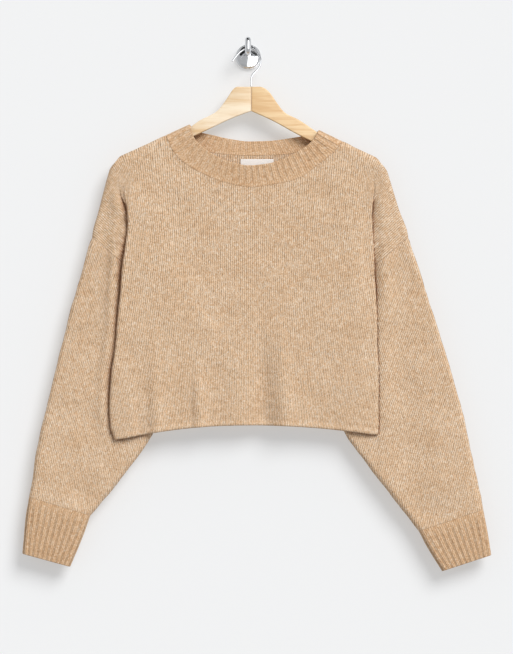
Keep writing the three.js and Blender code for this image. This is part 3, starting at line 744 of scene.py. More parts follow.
def marl_knit(name, colours, rib=0.0):
    """Brushed marl knit, a wool blend: fine columns of V stitches in a two-tone yarn.

    The yarn twists cream and tan fibres, so the colour changes from stitch to stitch, and
    the brushed nap scatters light at grazing angles. Painted shade darkens the gaps between
    the stitch columns, narrow folds and, given a rib width, the rib hollows where the purl
    columns lie; painted light brightens the stitch tops.
    """
    material, add = new_material(name)
    # hollow and lines: strength of the painted shade in the rib hollows and in the column gaps.
    dark, mid, light, fleck, hollow, lines = colours
    place = add("ShaderNodeUVMap", uv_map="Knit")

    # Uneven hand of the yarn: columns wander by about half a millimetre.
    wander = add(NOISE, {"Vector": place, "Scale": 0.11, "Detail": 1.0})
    offset = add(VECTOR_MATH, {0: wander.outputs["Color"], 1: (0.5, 0.5, 0.5)}, operation="SUBTRACT")
    moved = add(VECTOR_MATH, {0: offset, 1: (1.8, 1.8, 1.8), 2: place}, operation="MULTIPLY_ADD")
    parts = add("ShaderNodeSeparateXYZ", {"Vector": moved})

    # Across a column, the two legs of each stitch lean away from its middle line.
    across = add(MATH, {0: parts.outputs["X"], 1: 1 / WALE}, operation="MULTIPLY")
    in_column = add(MATH, {0: across}, operation="FRACT")
    from_middle = add(MATH, {0: in_column, 1: 0.5}, operation="SUBTRACT")
    centre = add(MATH, {0: from_middle}, operation="ABSOLUTE")
    turn = add(MATH, {0: centre, 1: 2 * math.pi}, operation="MULTIPLY")
    legs = add(MATH, {0: turn}, operation="SINE")
    high_legs = add(MATH, {0: legs, 1: 0.0}, operation="MAXIMUM")
    round_legs = add(MATH, {0: high_legs, 1: 0.6}, operation="POWER")
    wave = add(MATH, {0: turn}, operation="COSINE")
    column = add(MATH, {0: wave, 1: 0.5, 2: 0.5}, operation="MULTIPLY_ADD")

    # Along a column, each stitch starts a course further down.
    courses = add(MATH, {0: parts.outputs["Y"], 1: 1 / COURSE}, operation="MULTIPLY")
    lean = add(MATH, {0: centre, 1: -2.0}, operation="MULTIPLY")
    course = add(MATH, {0: courses, 1: lean}, operation="ADD")
    in_course = add(MATH, {0: course}, operation="FRACT")
    half_turn = add(MATH, {0: in_course, 1: math.pi}, operation="MULTIPLY")
    loops = add(MATH, {0: half_turn}, operation="SINE")
    high_loops = add(MATH, {0: loops, 1: 0.5, 2: 0.5}, operation="MULTIPLY_ADD")
    stitch = add(MATH, {0: round_legs, 1: high_loops}, operation="MULTIPLY")

    # Marl: the colour runs along each column for a few stitches, with faint cloudy patches.
    number = add(MATH, {0: across}, operation="FLOOR")
    run_x = add(MATH, {0: number, 1: 7.31}, operation="MULTIPLY")
    run_y = add(MATH, {0: parts.outputs["Y"], 1: 0.16}, operation="MULTIPLY")
    run = add("ShaderNodeCombineXYZ", {"X": run_x, "Y": run_y})
    streaks = add(NOISE, {"Vector": run, "Scale": 1.0, "Detail": 3.0, "Roughness": 0.65})
    speck_place = add(VECTOR_MATH, {0: moved, 1: (0.7, 0.36, 1.0)}, operation="MULTIPLY")
    specks = add(NOISE, {"Vector": speck_place, "Scale": 1.0, "Detail": 2.0, "Roughness": 0.6})
    patches = add(NOISE, {"Vector": place, "Scale": 0.022, "Detail": 3.0, "Roughness": 0.6})
    speck_share = add(MATH, {0: specks, 1: 0.54}, operation="MULTIPLY")
    yarn = add(MATH, {0: streaks, 1: 0.36, 2: speck_share}, operation="MULTIPLY_ADD")
    patch_share = add(MATH, {0: patches, 1: 0.10}, operation="MULTIPLY")
    mix = add(MATH, {0: yarn, 1: patch_share}, operation="ADD")
    colour = add(RAMP, {"Fac": mix}, ((0.36, dark), (0.5, mid), (0.64, light)))
    fleck_noise = add(NOISE, {"Vector": speck_place, "Scale": 0.5, "Detail": 2.0})
    flecks = add(RAMP, {"Fac": fleck_noise}, ((0.55, (0, 0, 0, 1)), (0.74, (1, 1, 1, 1))))
    fleck_share = add(MATH, {0: flecks, 1: 0.35}, operation="MULTIPLY")
    flecked = add("ShaderNodeMix", {"Factor": fleck_share, 6: colour, 7: fleck}, data_type="RGBA")

    # Painted shade darkens the gaps between the columns, more in random patches;
    # painted light brightens the stitch tops.
    nap_noise = add(NOISE, {"Vector": speck_place, "Scale": 0.3, "Detail": 3.0, "Roughness": 0.7})
    gap_shade_noise = add(MATH, {0: nap_noise, 1: 1.5, 2: -0.38}, operation="MULTIPLY_ADD")
    thin = add(MATH, {0: gap_shade_noise, 1: lines}, operation="MULTIPLY")
    between = add(MATH, {0: 1.0, 1: column}, operation="SUBTRACT")
    narrow = add(MATH, {0: between, 1: 1.4}, operation="POWER")
    gap = add(MATH, {0: narrow, 1: thin}, operation="MULTIPLY")
    lit = add(MATH, {0: stitch, 1: 0.12, 2: 0.96}, operation="MULTIPLY_ADD")
    shade = add(MATH, {0: lit, 1: gap}, operation="SUBTRACT")
    if rib:
        # Painted shade in each rib's hollows, growing in from the seam.
        ends = add("ShaderNodeSeparateXYZ", {"Vector": place})
        rib_turn = add(MATH, {0: ends.outputs["X"], 1: math.pi / rib}, operation="MULTIPLY")
        rib_cosine = add(MATH, {0: rib_turn}, operation="COSINE")
        rib_top = add(MATH, {0: rib_cosine}, operation="ABSOLUTE")
        rib_low = add(MATH, {0: 1.0, 1: rib_top}, operation="SUBTRACT")
        sunk = add(MATH, {0: rib_low, 1: 1.5}, operation="POWER")
        start = add("ShaderNodeMapRange", {
            "Value": ends.outputs["Y"], "From Min": -2.0, "From Max": -16.0,
        })
        sunk_here = add(MATH, {0: sunk, 1: start}, operation="MULTIPLY")
        painted_hollow_shade = add(MATH, {0: sunk_here, 1: hollow}, operation="MULTIPLY")
        shade = add(MATH, {0: shade, 1: painted_hollow_shade}, operation="SUBTRACT")
    shaded = add(VECTOR_MATH, {0: flecked.outputs[2], "Scale": shade}, operation="SCALE")

    # Painted shade: ambient occlusion darkens narrow folds, slits and seams to a warm brown.
    reached = add("ShaderNodeAmbientOcclusion", {"Distance": FOLD_SHADE_REACH * MM}, samples=6)
    painted_fold_shade = add(RAMP, {"Fac": reached.outputs["AO"]}, (
        (0.12, linear("#66402A")), (0.40, linear("#C2936F")), (0.70, (1, 1, 1, 1)),
    ))
    deep = add(VECTOR_MATH, {0: shaded, 1: painted_fold_shade}, operation="MULTIPLY")

    nap = add(NOISE, {"Vector": place, "Scale": 1.3, "Detail": 3.0, "Roughness": 0.7})
    stitch_height = add(MATH, {0: stitch, 1: 0.4}, operation="MULTIPLY")
    column_height = add(MATH, {0: column, 1: 0.9}, operation="MULTIPLY")
    knit_height = add(MATH, {0: stitch_height, 1: column_height}, operation="ADD")
    nap_height = add(MATH, {0: nap, 1: 0.6}, operation="MULTIPLY")
    height = add(MATH, {0: knit_height, 1: nap_height}, operation="ADD")
    bump = add("ShaderNodeBump", {"Height": height, "Strength": 1.0, "Distance": NAP * MM})
    shader = add("ShaderNodeBsdfPrincipled", {
        "Base Color": deep, "Normal": bump, "Roughness": 0.95, "Specular IOR Level": 0.2,
        "Sheen Weight": 0.22, "Sheen Roughness": 0.45, "Sheen Tint": linear("#F7E6D2"),
    })
    add("ShaderNodeOutputMaterial", {"Surface": shader})
    return material


def lacquered_beech(name, dark, light, tilt):
    """Planed beech with a clear satin lacquer: fine straight grain and short pale flecks."""
    material, add = new_material(name)
    place = add("ShaderNodeTexCoord").outputs["Object"]
    along = add("ShaderNodeMapping", {
        "Vector": place, "Rotation": (0, math.radians(tilt), 0), "Scale": (14, 120, 190),
    })
    grain = add(NOISE, {
        "Vector": along, "Scale": 1.0, "Detail": 4.0, "Roughness": 0.6, "Distortion": 0.4,
    })
    broad = add(NOISE, {"Vector": along, "Scale": 0.22, "Detail": 2.0})
    both = add(MATH, {0: grain, 1: broad}, operation="ADD")
    mean = add(MATH, {0: both, 1: 0.5}, operation="MULTIPLY")
    colour = add(RAMP, {"Fac": mean}, ((0.36, linear(dark)), (0.62, linear(light))))
    bump = add("ShaderNodeBump", {"Height": grain, "Strength": 0.3, "Distance": 0.15 * MM})
    shader = add("ShaderNodeBsdfPrincipled", {
        "Base Color": colour, "Normal": bump, "Roughness": 0.42, "Coat Weight": 0.25,
        "Coat Roughness": 0.25,
    })
    add("ShaderNodeOutputMaterial", {"Surface": shader})
    return material


def polished_chrome(name):
    """Chrome plate on zinc and steel: mirror bright, with faint polishing haze."""
    material, add = new_material(name)
    place = add("ShaderNodeTexCoord").outputs["Object"]
    haze = add(NOISE, {"Vector": place, "Scale": 240.0, "Detail": 3.0})
    rough = add("ShaderNodeMapRange", {"Value": haze, "To Min": 0.05, "To Max": 0.14})
    shader = add("ShaderNodeBsdfPrincipled", {
        "Base Color": linear("#DADCDF"), "Metallic": 1.0, "Roughness": rough,
    })
    add("ShaderNodeOutputMaterial", {"Surface": shader})
    return material


def woven_label(name):
    """White polyester satin label: fine ribbed weave with a soft gloss."""
    material, add = new_material(name)
    parts = add("ShaderNodeSeparateXYZ", {"Vector": add("ShaderNodeUVMap", uv_map="Knit")})
    waves = []
    for part in parts.outputs[:2]:
        turn = add(MATH, {0: part, 1: 2 * math.pi / LABEL_THREAD}, operation="MULTIPLY")
        waves.append(add(MATH, {0: turn}, operation="SINE"))
    weave = add(MATH, {0: waves[0], 1: waves[1]}, operation="MULTIPLY")
    colour = add(RAMP, {"Fac": weave}, ((0.0, linear("#E9E4DF")), (1.0, linear("#FBF8F5"))))
    bump = add("ShaderNodeBump", {"Height": weave, "Strength": 0.5, "Distance": 0.05 * MM})
    shader = add("ShaderNodeBsdfPrincipled", {
        "Base Color": colour, "Normal": bump, "Roughness": 0.6, "Sheen Weight": 0.3,
    })
    add("ShaderNodeOutputMaterial", {"Surface": shader})
    return material


def painted_wall(name, colour, glow):
    """Matt lit panel. It shows from the room's side only, so the back can be looked at."""
    material, add = new_material(name)
    place = add("ShaderNodeTexCoord").outputs["Object"]
    speckle = add(NOISE, {"Vector": place, "Scale": 300.0})
    bump = add("ShaderNodeBump", {"Height": speckle, "Strength": 0.04, "Distance": 0.1 * MM})
    shader = add("ShaderNodeBsdfPrincipled", {
        "Base Color": colour, "Normal": bump, "Roughness": 0.9, "Specular IOR Level": 0.1,
        "Emission Color": (1, 1, 1, 1), "Emission Strength": glow,
    })
    back = add("ShaderNodeNewGeometry").outputs["Backfacing"]
    clear = add("ShaderNodeBsdfTransparent")
    either = add("ShaderNodeMixShader", {0: back, 1: shader, 2: clear})
    add("ShaderNodeOutputMaterial", {"Surface": either})
    return material


def knit_material():
    """The one marl knit that the panels and sleeves share."""
    knit, _ = settings()
    return bpy.data.materials.get("brushed marl knit") or marl_knit(
        "brushed marl knit", (knit.dark_yarn, knit.mid_yarn, knit.light_yarn, knit.fleck, 0, 1))


def rib_material(kind):
    """The same marl in a rib. The ribs are counted in the knit map's own millimetres."""
    knit, _ = settings()
    name = "ribbed marl knit, " + kind
    make = RIBBING[kind]
    return bpy.data.materials.get(name) or marl_knit(
        name, (knit.rib_dark, knit.rib_mid, knit.rib_light, knit.fleck, make["hollow"],
               make["lines"]), RIB_COLUMNS * WALE)


# ------------------------------------------------------------------ properties
def colour_property(name, description, code):
    """Colour setting with an sRGB hex default."""
    return bpy.props.FloatVectorProperty(
        name=name, description=description, subtype="COLOR", size=4, min=0.0, max=1.0,
        default=linear(code))


class JumperKnit(bpy.types.PropertyGroup):
    """Sizes and colours of the knitted cloth."""

    dark_yarn: colour_property("Dark yarn", "Darkest fibre of the marl", "#C49B74")
    mid_yarn: colour_property("Middle yarn", "Main shade of the marl", "#DCBC9A")
    light_yarn: colour_property("Light yarn", "Palest fibre of the marl", "#EEDCC7")
    fleck: colour_property("Fleck", "Warm flecks in the yarn", "#D6A074")
    rib_dark: colour_property("Dark rib yarn", "Darkest fibre of the ribbing", "#B68C66")
    rib_mid: colour_property("Middle rib yarn", "Main shade of the ribbing", "#D2AD87")
    rib_light: colour_property("Light rib yarn", "Palest fibre of the ribbing", "#E6CEB3")
    rib_height: bpy.props.FloatProperty(
        name="Rib height", description="How far a rib stands out", default=0.0014,
        min=0.0, max=0.004, subtype="DISTANCE", unit="LENGTH")
    hem_height: bpy.props.FloatProperty(
        name="Hem height", description="Height of the turned hem", default=0.009,
        min=0.0, max=0.03, subtype="DISTANCE", unit="LENGTH")


class JumperFittings(bpy.types.PropertyGroup):
    """Sizes of the hanger and hook."""

    wood_thickness: bpy.props.FloatProperty(
        name="Hanger thickness", description="Thickness of the wooden arms", default=0.010,
        min=0.004, max=0.02, subtype="DISTANCE", unit="LENGTH")
    wire: bpy.props.FloatProperty(
        name="Wire diameter", description="Diameter of the hanger's wire", default=0.0028,
        min=0.001, max=0.006, subtype="DISTANCE", unit="LENGTH")
    wall_colour: colour_property("Wall", "Colour of the wall and floor", "#BBBCBD")
    wall_glow: bpy.props.FloatProperty(
        name="Wall glow", description="Light that the lit wall panel gives off by itself",
        default=0.335, min=0.0, max=1.0)


# ------------------------------------------------------------------ building the cloth
SEEDS = {"front": 11, "back": 23, "sleeve_left": 31, "sleeve_right": 47, "ribs": 61}
SEAM_RIDGE = {"height": 0.44, "in": 4.5, "width": 2.2}
# The turned hem stands out on both faces, and its stitching draws a groove above it.
HEM = {"out": 1.2, "inside": 0.5, "groove": 0.8, "groove_width": 1.1}


def surface_life(cloth, seed, amount=0.45):
    """Small unevenness of hanging knit, the same on both faces of the cloth."""
    move = amount * ripple(cloth.x, cloth.z, 70, seed) + 0.2 * ripple(cloth.x, cloth.z, 22, seed + 1)
    keep = smooth(0, 12, cloth.rim)
    cloth.grid = cloth.grid + cloth.normals() * (move * keep)[:, :, None]


def seam_ridge(cloth):
    """Linked seam at the armhole: a low ridge of seam allowance just inside the edge."""
    ridge = SEAM_RIDGE["height"] * np.exp(
        -(((cloth.from_start - SEAM_RIDGE["in"]) / SEAM_RIDGE["width"]) ** 2))
    cloth.lift[1] += np.broadcast_to(ridge, cloth.rim.shape)


# Beside each fold the sleeve swells outward. Each row holds the distance out from the fold,
# the half width and the height of the swell, then the depth and half width of the hollow at
# the fold itself, and where the swell starts and is full: above the underarm, and below it.
FOLD_SIDES = {
    "left": ((14, 7.5, 7.0, 3.6, 5.0, 0.3, 5.5), (13, 7.5, 3.6, 2.0, 4.5, 0.3, 5.5)),
    "right": ((12, 15, 6.2, 2.6, 9.0, -0.8, 2.4), (6, 22, 6.0, 0.0, 9.0, -1.2, 1.4)),
}
# Depths below the origin between which the swells start, change rows and end.
SWELL_SPAN = {"start": (205, 245), "lower": (370, 430), "end": (540, 640)}
# The layers at the right fold are pressed together by this share, over these widths beside
# it. The press starts, and eases to a half, between these depths below the origin. Beside the
# armhole it is stronger.
PRESS = {"share": 0.24, "inside": 34, "outside": 12, "start": (200, 240), "end": (590, 625)}
VALLEY = {"share": 0.30, "z": -325, "tall": 62}
SLIT = {"z": -283, "tall": 46, "open": 3.6, "wide": 38}   # the left fold gapes open here


def fold_swell(x, z):
    """Height of the swell and hollow beside the side folds, on what lies outside them."""
    total = np.zeros_like(x)
    low = smooth(*SWELL_SPAN["lower"], -z)
    window = smooth(*SWELL_SPAN["start"], -z) * (1 - smooth(*SWELL_SPAN["end"], -z))
    for key, (upper, lower) in FOLD_SIDES.items():
        side = SIDES[key]
        away = x * side["sign"] - side_value(side, "fold", z)
        centre, width, height, deep, narrow, start, full = (
            a + (b - a) * low for a, b in zip(upper, lower))
        rise = np.clip((away - start) / (full - start), 0, 1)
        swell = np.exp(-(((away - centre) / width) ** 2)) * rise * rise * (3 - 2 * rise)
        total += window * height * swell
        total -= window * deep * np.exp(-(((away - 2) / narrow) ** 2))
    return total


def press_fold(cloth):
    """Presses every layer at the right fold towards the middle plane by the same share."""
    side = SIDES["right"]
    away = cloth.x * side["sign"] - side_value(side, "fold", cloth.z)
    across = smooth(-PRESS["inside"], -1, away) * (1 - smooth(0, PRESS["outside"], away))
    down = smooth(*PRESS["start"], -cloth.z) * (1 - smooth(*PRESS["end"], -cloth.z) * 0.5)
    valley = VALLEY["share"] * np.exp(-(((cloth.z - VALLEY["z"]) / VALLEY["tall"]) ** 2))
    share = (PRESS["share"] + valley) * across * down * (cloth.x > 0)
    cloth.grid[:, :, 1] += (MID_Y - cloth.grid[:, :, 1]) * share


def open_slit(cloth, layer):
    """Draws the left fold back towards the middle where it gapes open."""
    side = SIDES["left"]
    a = cloth.x * side["sign"]
    away = a - side_value(side, "fold", cloth.z)
    tall = np.exp(-(((cloth.z - SLIT["z"]) / SLIT["tall"]) ** 2))
    share = smooth(-SLIT["wide"], -4, away) * (1 - smooth(0.3, 0.9, layer)) * (a > 0)
    cloth.grid[:, :, 0] -= side["sign"] * SLIT["open"] * tall * share


def build_panel(name, face):
    """Front or back panel, with its side folds, creases and turned hem."""
    knit, _ = settings()
    control, layers = panel_control(name, face)
    cloth = Cloth(control, STEP, STEP)
    layer = np.interp(cloth.column_places, cloth.column_knots, layers)
    layer = np.broadcast_to(layer[None, :], cloth.rim.shape)
    across, along = wale_lines(cloth.x, cloth.z, layer)
    main = 1 - smooth(0.0, 0.5, layer)
    cloth.grid[:, :, 1] += face * crease_depth(cloth.x, cloth.z, CREASES[name]) * main
    keep_clear(cloth, face, main)
    press_fold(cloth)
    open_slit(cloth, layer)
    round_corners(cloth.grid)
    swell = fold_swell(cloth.x, cloth.z) * smooth(0.9, 1.0, layer)
    swell *= smooth(0, 3, np.abs(cloth.grid[:, :, 1] - MID_Y) - 1)
    cloth.grid[:, :, 1] -= face * swell
    surface_life(cloth, SEEDS[name])
    hem = knit.hem_height / MM
    low = cloth.from_end
    band = smooth(0, 1.5, low) * (1 - smooth(hem - 1.6, hem, low))
    groove = np.exp(-(((low - hem - 0.4) / HEM["groove_width"]) ** 2))
    cloth.lift[1] += HEM["out"] * band * main - HEM["groove"] * groove * main
    cloth.lift[-1] += HEM["inside"] * band * main
    cloth.full_edge = smooth(8, 12, low) + np.zeros(cloth.rim.shape)
    outward = -1 if face > 0 else 1
    piece = cloth.mesh(name + "_panel", outward, (across, along), face)
    finish_piece(piece, knit_material(), "knit", name)
    return piece


def ring_control(section, sign, shift):
    """Flat ring of a sleeve: up the front from inner to outer edge, and down the back."""
    ox, oz, ix, iz, depth = section
    outer, inner = np.array([ox, oz], float), np.array([ix, iz], float)
    width = float(np.linalg.norm(inner - outer))
    across = (inner - outer) / width
    down = np.array([-across[1], across[0]]) * shift
    stops = [1, 3, 7, width * 0.25, width * 0.5, width * 0.75, width - 7, width - 3, width - 1]

    def place(distance, face):
        spot = outer + across * distance + down
        deep = depth * float(curl(min(distance, width - distance), depth))
        return layer_point(sign * spot[0], spot[1], deep, face)

    points = [place(width, 1)] + [place(s, 1) for s in stops[::-1]]
    points += [place(0, 1)] + [place(s, -1) for s in stops]
    reach = [-width] + [-s for s in stops[::-1]] + [0] + list(stops) + [width]
    return points, reach


def build_tube(sections, sign, row_step, column_step, first_shift):
    """Tube of cloth through flat rings, with its distance round from the outer edge."""
    rings = [ring_control(s, sign, first_shift if k == 0 else 0.0) for k, s in enumerate(sections)]
    control = np.array([r[0] for r in rings], float)
    reach = np.array([r[1] for r in rings], float)
    cloth = Cloth(control, row_step, column_step, closed=True)
    columns = np.append(cloth.column_places, cloth.girth)
    spread = resample(reach.T, cloth.column_knots, columns)
    row_index = resample(spread.T, tube_knots(control, cloth), cloth.row_places)
    return cloth, row_index


def tube_knots(control, cloth):
    """Row knots of a tube's control rings on the fine grid's own scale."""
    knots = chord_knots(control)
    return knots * cloth.row_places[-1] / knots[-1]


def build_sleeve(key):
    """Sleeve: one flat tube from the armhole to the cuff."""
    side = SIDES[key]
    cloth, reach = build_tube(SLEEVES[key], side["sign"], STEP, STEP, SEAM_SHIFT)
    surface_life(cloth, SEEDS["sleeve_" + key], 0.8)
    sleeve_creases(cloth, key)
    along = np.repeat(-cloth.row_places[:, None], reach.shape[1], axis=1)
    seam_ridge(cloth)
    cloth.full_edge = (1 - smooth(2, 6, cloth.from_start)) * 0.6 + 1 - smooth(2, 6, cloth.from_end)
    cloth.full_edge = cloth.full_edge + np.zeros(cloth.rim.shape)
    piece = cloth.mesh("sleeve_" + key + "_knit", outward_of(cloth), (reach[:, :-1], along[:, :-1]))
    finish_piece(piece, knit_material(), "knit", "sleeve_" + key)
    return piece


def outward_of(cloth):
    """Sign of the normal that points out of a tube."""
    centre = cloth.grid.mean(axis=1, keepdims=True)
    way = ((cloth.grid - centre) * cloth.normals()).sum(axis=2).mean()
    return 1 if way > 0 else -1


# Long folds of the sleeves, in the same form as the other creases.
BACK_SHIFT = (14, 20)   # on a sleeve's back they lie this much to the left and lower
SLEEVE_CREASES = {
    "left": (
        (-225, -300, -262, -640, 24, 1.6),
        (-165, -420, -235, -640, 20, 1.4),
        (-290, -560, -318, -700, 16, 1.5),
    ),
    "right": (
        (230, -300, 268, -640, 24, 1.8),
        (176, -430, 250, -660, 20, 1.6),
        (300, -560, 336, -715, 16, 1.6),
    ),
}


def sleeve_creases(cloth, key):
    """Long soft folds down a sleeve, on its front and, shifted, on its back."""
    press_fold(cloth)
    front = cloth.grid[:, :, 1] < MID_Y
    start = smooth(0, 25, cloth.from_start)
    deep = crease_depth(cloth.x, cloth.z, SLEEVE_CREASES[key]) * start
    shifted = crease_depth(
        cloth.x + BACK_SHIFT[0], cloth.z + BACK_SHIFT[1], SLEEVE_CREASES[key]) * start
    room = smooth(0, 4, np.abs(cloth.grid[:, :, 1] - MID_Y))
    end = smooth(0, 30, cloth.from_end)
    swell = fold_swell(cloth.x, cloth.z)
    cloth.grid[:, :, 1] += np.where(front, deep - swell, swell - shifted) * room * end


def build_cuff(key):
    """Ribbed cuff, whose ribs grow out of the seam with the sleeve."""
    side = SIDES[key]
    cloth, _ = build_tube(CUFFS[key], side["sign"], ROW_STEP, FINE_STEP, -SEAM_SHIFT)
    rib_surface(cloth, RIBBING["cuffs"])
    knit = rib_map(cloth, RIBBING["cuffs"]["width"])
    piece = cloth.mesh("cuff_" + key + "_ribbed", outward_of(cloth), knit)
    finish_piece(piece, rib_material("cuffs"), "ribbing", "cuff_" + key)
    return piece


def rib_map(cloth, width):
    """Knit coordinates of a ribbed tube, with a fixed count of stitch columns to a rib."""
    ribs = round(cloth.girth / width)
    across = cloth.column_places / cloth.girth * ribs * RIB_COLUMNS * WALE
    shape = cloth.rim.shape
    return (np.broadcast_to(across[None, :], shape).copy(),
            np.broadcast_to(-cloth.row_places[:, None], shape).copy())


def rib_surface(cloth, make):
    """Raises ribs on a tube. They rise over a distance from the seam, and vary in height."""
    knit, _ = settings()
    ribs = round(cloth.girth / make["width"])
    turns = cloth.column_places / cloth.girth * ribs
    # Rounded tops and narrower hollows.
    wave = np.abs(np.cos(turns * math.pi))[None, :] ** 0.8
    grow = smooth(*make["rise"], cloth.from_start)
    height = knit.rib_height / MM
    low, high = make["tops"]
    vary = low + (high - low) * (0.5 + 0.5 * ripple(cloth.x, cloth.z, 40, SEEDS["ribs"]))
    cloth.lift[1] += (wave - 0.5) * height * grow * vary
    cloth.lift[-1] += (wave - 1) * height * grow * 0.35
    cloth.full_edge = 1 - smooth(2, 6, cloth.from_start) + np.zeros(cloth.rim.shape)


def build_neckband():
    """Ribbed neckband: a ring that stands up from the neck seam."""
    stations = [band_section(column, 1) for column in neck_columns("front")]
    stations += [band_section(column, -1) for column in neck_columns("back")[1:-1][::-1]]
    control = np.array(stations, float).transpose(1, 0, 2)
    cloth = Cloth(control, ROW_STEP, FINE_STEP, closed=True)
    rib_surface(cloth, RIBBING["neckband"])
    cloth.lift[1] += 0.5 * np.exp(-(((cloth.from_start - 2.2) / 1.6) ** 2))
    knit = rib_map(cloth, RIBBING["neckband"]["width"])
    piece = cloth.mesh("neckband_ribbed", outward_of(cloth), knit)
    finish_piece(piece, rib_material("neckband"), "ribbing", "neckband")
    return piece


def band_section(column, face):
    """The neckband's section at one column: seam edge, three between, upper edge."""
    x0, seam, _, band_x, top = column
    length = math.hypot(x0 - band_x, seam - top)
    points = []
    for share in (SEAM_SHIFT / length, 0.25, 0.5, 0.75, 1):
        x = x0 + (band_x - x0) * share
        z = seam + (top - seam) * share
        full = NECK_DEPTH + (BAND_DEPTH - NECK_DEPTH) * share
        depth = full * float(curl((shoulder_line(x) - z) * SLOPE_COSINE, TOP_DEPTH))
        points.append(layer_point(x, z, max(depth, 0.02), face))
    return points


LABEL = {"thickness": 0.6, "bow": 0.35, "step": 1.2}


def build_label():
    """Blank woven label: a thin sheet that bows slightly away from the back panel."""
    low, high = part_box("label")
    x = np.linspace(low.x, high.x, 28) / MM
    z = np.linspace(high.z, low.z, 14) / MM
    gx, gz = np.meshgrid(x, z)
    middle = (low.y + high.y) / 2 / MM
    bow = LABEL["bow"] * np.sin((gx - gx.min()) / (gx.max() - gx.min()) * math.pi)
    control = np.stack((gx, middle - bow, gz), axis=2)
    cloth = Cloth(control, LABEL["step"], LABEL["step"])
    for way in cloth.lift:
        cloth.lift[way] -= (CLOTH - LABEL["thickness"]) / 2
    piece = cloth.mesh("label_woven", 1, (cloth.x, cloth.z))
    finish_piece(piece, woven_label("white satin label"), "label", "label")
    return piece


# ------------------------------------------------------------------ hanger and hook
# Each arm's dark and light grain colours hold the beech's tone with painted light: the left arm is
# painted paler, as if more brightly lit, and the right more orange.
ARMS = {
    "left": {
        "top": ((-18.6, -49), (-24, -52.5), (-30, -61), (-38, -73), (-50.4, -88), (-63, -95.6),
                (-77.3, -102.5)),
        "under": ((-25, -99), (-64.5, -117.5)),
        "tone_and_light": ("#D9B584", "#F0DEC2"), "tilt": 24,
    },
    "right": {
        "top": ((20, -49), (28, -52.5), (36, -60.5), (46, -75), (58.7, -90.5), (80, -101.5)),
        "under": ((38, -103), (84, -128)),
        "tone_and_light": ("#CC9B60", "#E8CA9B"), "tilt": -26,
    },
}
HANGER = {
    "bevel": 2.0, "seam": 4.8, "top": -49.0, "under": -88.0, "clearance": 2.1, "gap": 0.1,
    "crown": 12, "tip": 203,
}
# Rounded tip of an arm, as steps out and up from where its top line ends.
TIP_OUTLINE = ((0, 0), (5.5, -4), (6, -9), (1, -14), (-4, -17))
WIRE_PATH = (
    (-25.4, -7.6), (-21, -1.5), (-15, 5.5), (-8, 10.4), (0, 12.05), (8.5, 10.2), (15.5, 4.6),
    (19.4, -3), (19.8, -11), (16.6, -18.5), (11, -25), (6.6, -30), (4.8, -35), (4.8, -41),
    (4.8, -48.7),
)
PLATE = {"radius": 20.0, "rim": 4.0, "dome": 9.0, "sides": 96}
PEG_PATH = ((-8.9, 4), (-20, 4.6), (-29, 5.6), (-36, 8.5), (-40, 15), (-41, 31))
PEG = {"radius": 4.8, "x": -0.5, "dome_steps": 6}   # its domed end takes the path's last steps
WELD = 0.02           # points closer than this are one


def curve_through(points, count):
    """Smooth open line through points, evenly spaced."""
    points = np.asarray(points, float)
    ends = np.vstack((2 * points[0] - points[1], points, 2 * points[-1] - points[-2]))
    fine = []
    for k in range(len(points) - 1):
        p0, p1, p2, p3 = ends[k:k + 4]
        d1, d2, d3 = (max(np.linalg.norm(b - a) ** 0.5, 1e-6) for a, b in
                      ((p0, p1), (p1, p2), (p2, p3)))
        m1 = (p1 - p0) / d1 - (p2 - p0) / (d1 + d2) + (p2 - p1) / d2
        m2 = (p2 - p1) / d2 - (p3 - p1) / (d2 + d3) + (p3 - p2) / d3
        t = np.linspace(0, 1, 24, endpoint=k == len(points) - 2)[:, None]
        fine.append((2 * t ** 3 - 3 * t ** 2 + 1) * p1 + (t ** 3 - 2 * t ** 2 + t) * m1 * d2
                    + (3 * t ** 2 - 2 * t ** 3) * p2 + (t ** 3 - t ** 2) * m2 * d2)
    fine = np.concatenate(fine)
    run = np.concatenate(([0], np.cumsum(np.linalg.norm(np.diff(fine, axis=0), axis=1))))
    even = np.linspace(0, run[-1], count)
    return np.stack([np.interp(even, run, fine[:, k]) for k in range(fine.shape[1])], axis=1)


def round_bar(name, path, radius, sides, start_round, end_round):
    """Round bar along a path in millimetres, with a domed start or end."""
    path = np.asarray(path, float)
    tangent = np.gradient(path, axis=0)
    tangent /= np.linalg.norm(tangent, axis=1, keepdims=True)
    rings, radii = [], []
    dome = [(math.sin(a), math.cos(a)) for a in np.linspace(0.06, math.pi / 2, 9)]
    if start_round:
        for grow, back in dome[:-1]:
            rings.append(path[0] - tangent[0] * radius * back)
            radii.append(radius * grow)
    frames = [tangent[0]] * len(rings)
    for point, way in zip(path, tangent):
        rings.append(point)
        radii.append(radius)
        frames.append(way)
    if end_round:
        for grow, back in dome[:-1][::-1]:
            rings.append(path[-1] + tangent[-1] * radius * back)
            radii.append(radius * grow)
            frames.append(tangent[-1])
    normal = np.cross(frames[0], (0.3, 1.0, 0.2))
    angles = np.linspace(0, 2 * math.pi, sides, endpoint=False)
    points = []
    for centre, size, way in zip(rings, radii, frames):
        normal = normal - way * np.dot(normal, way)
        normal = normal / np.linalg.norm(normal)
        other = np.cross(way, normal)
        for angle in angles:
            points.append(centre + (normal * math.cos(angle) + other * math.sin(angle)) * size)
    return ring_mesh(name, np.array(points), len(rings), sides)


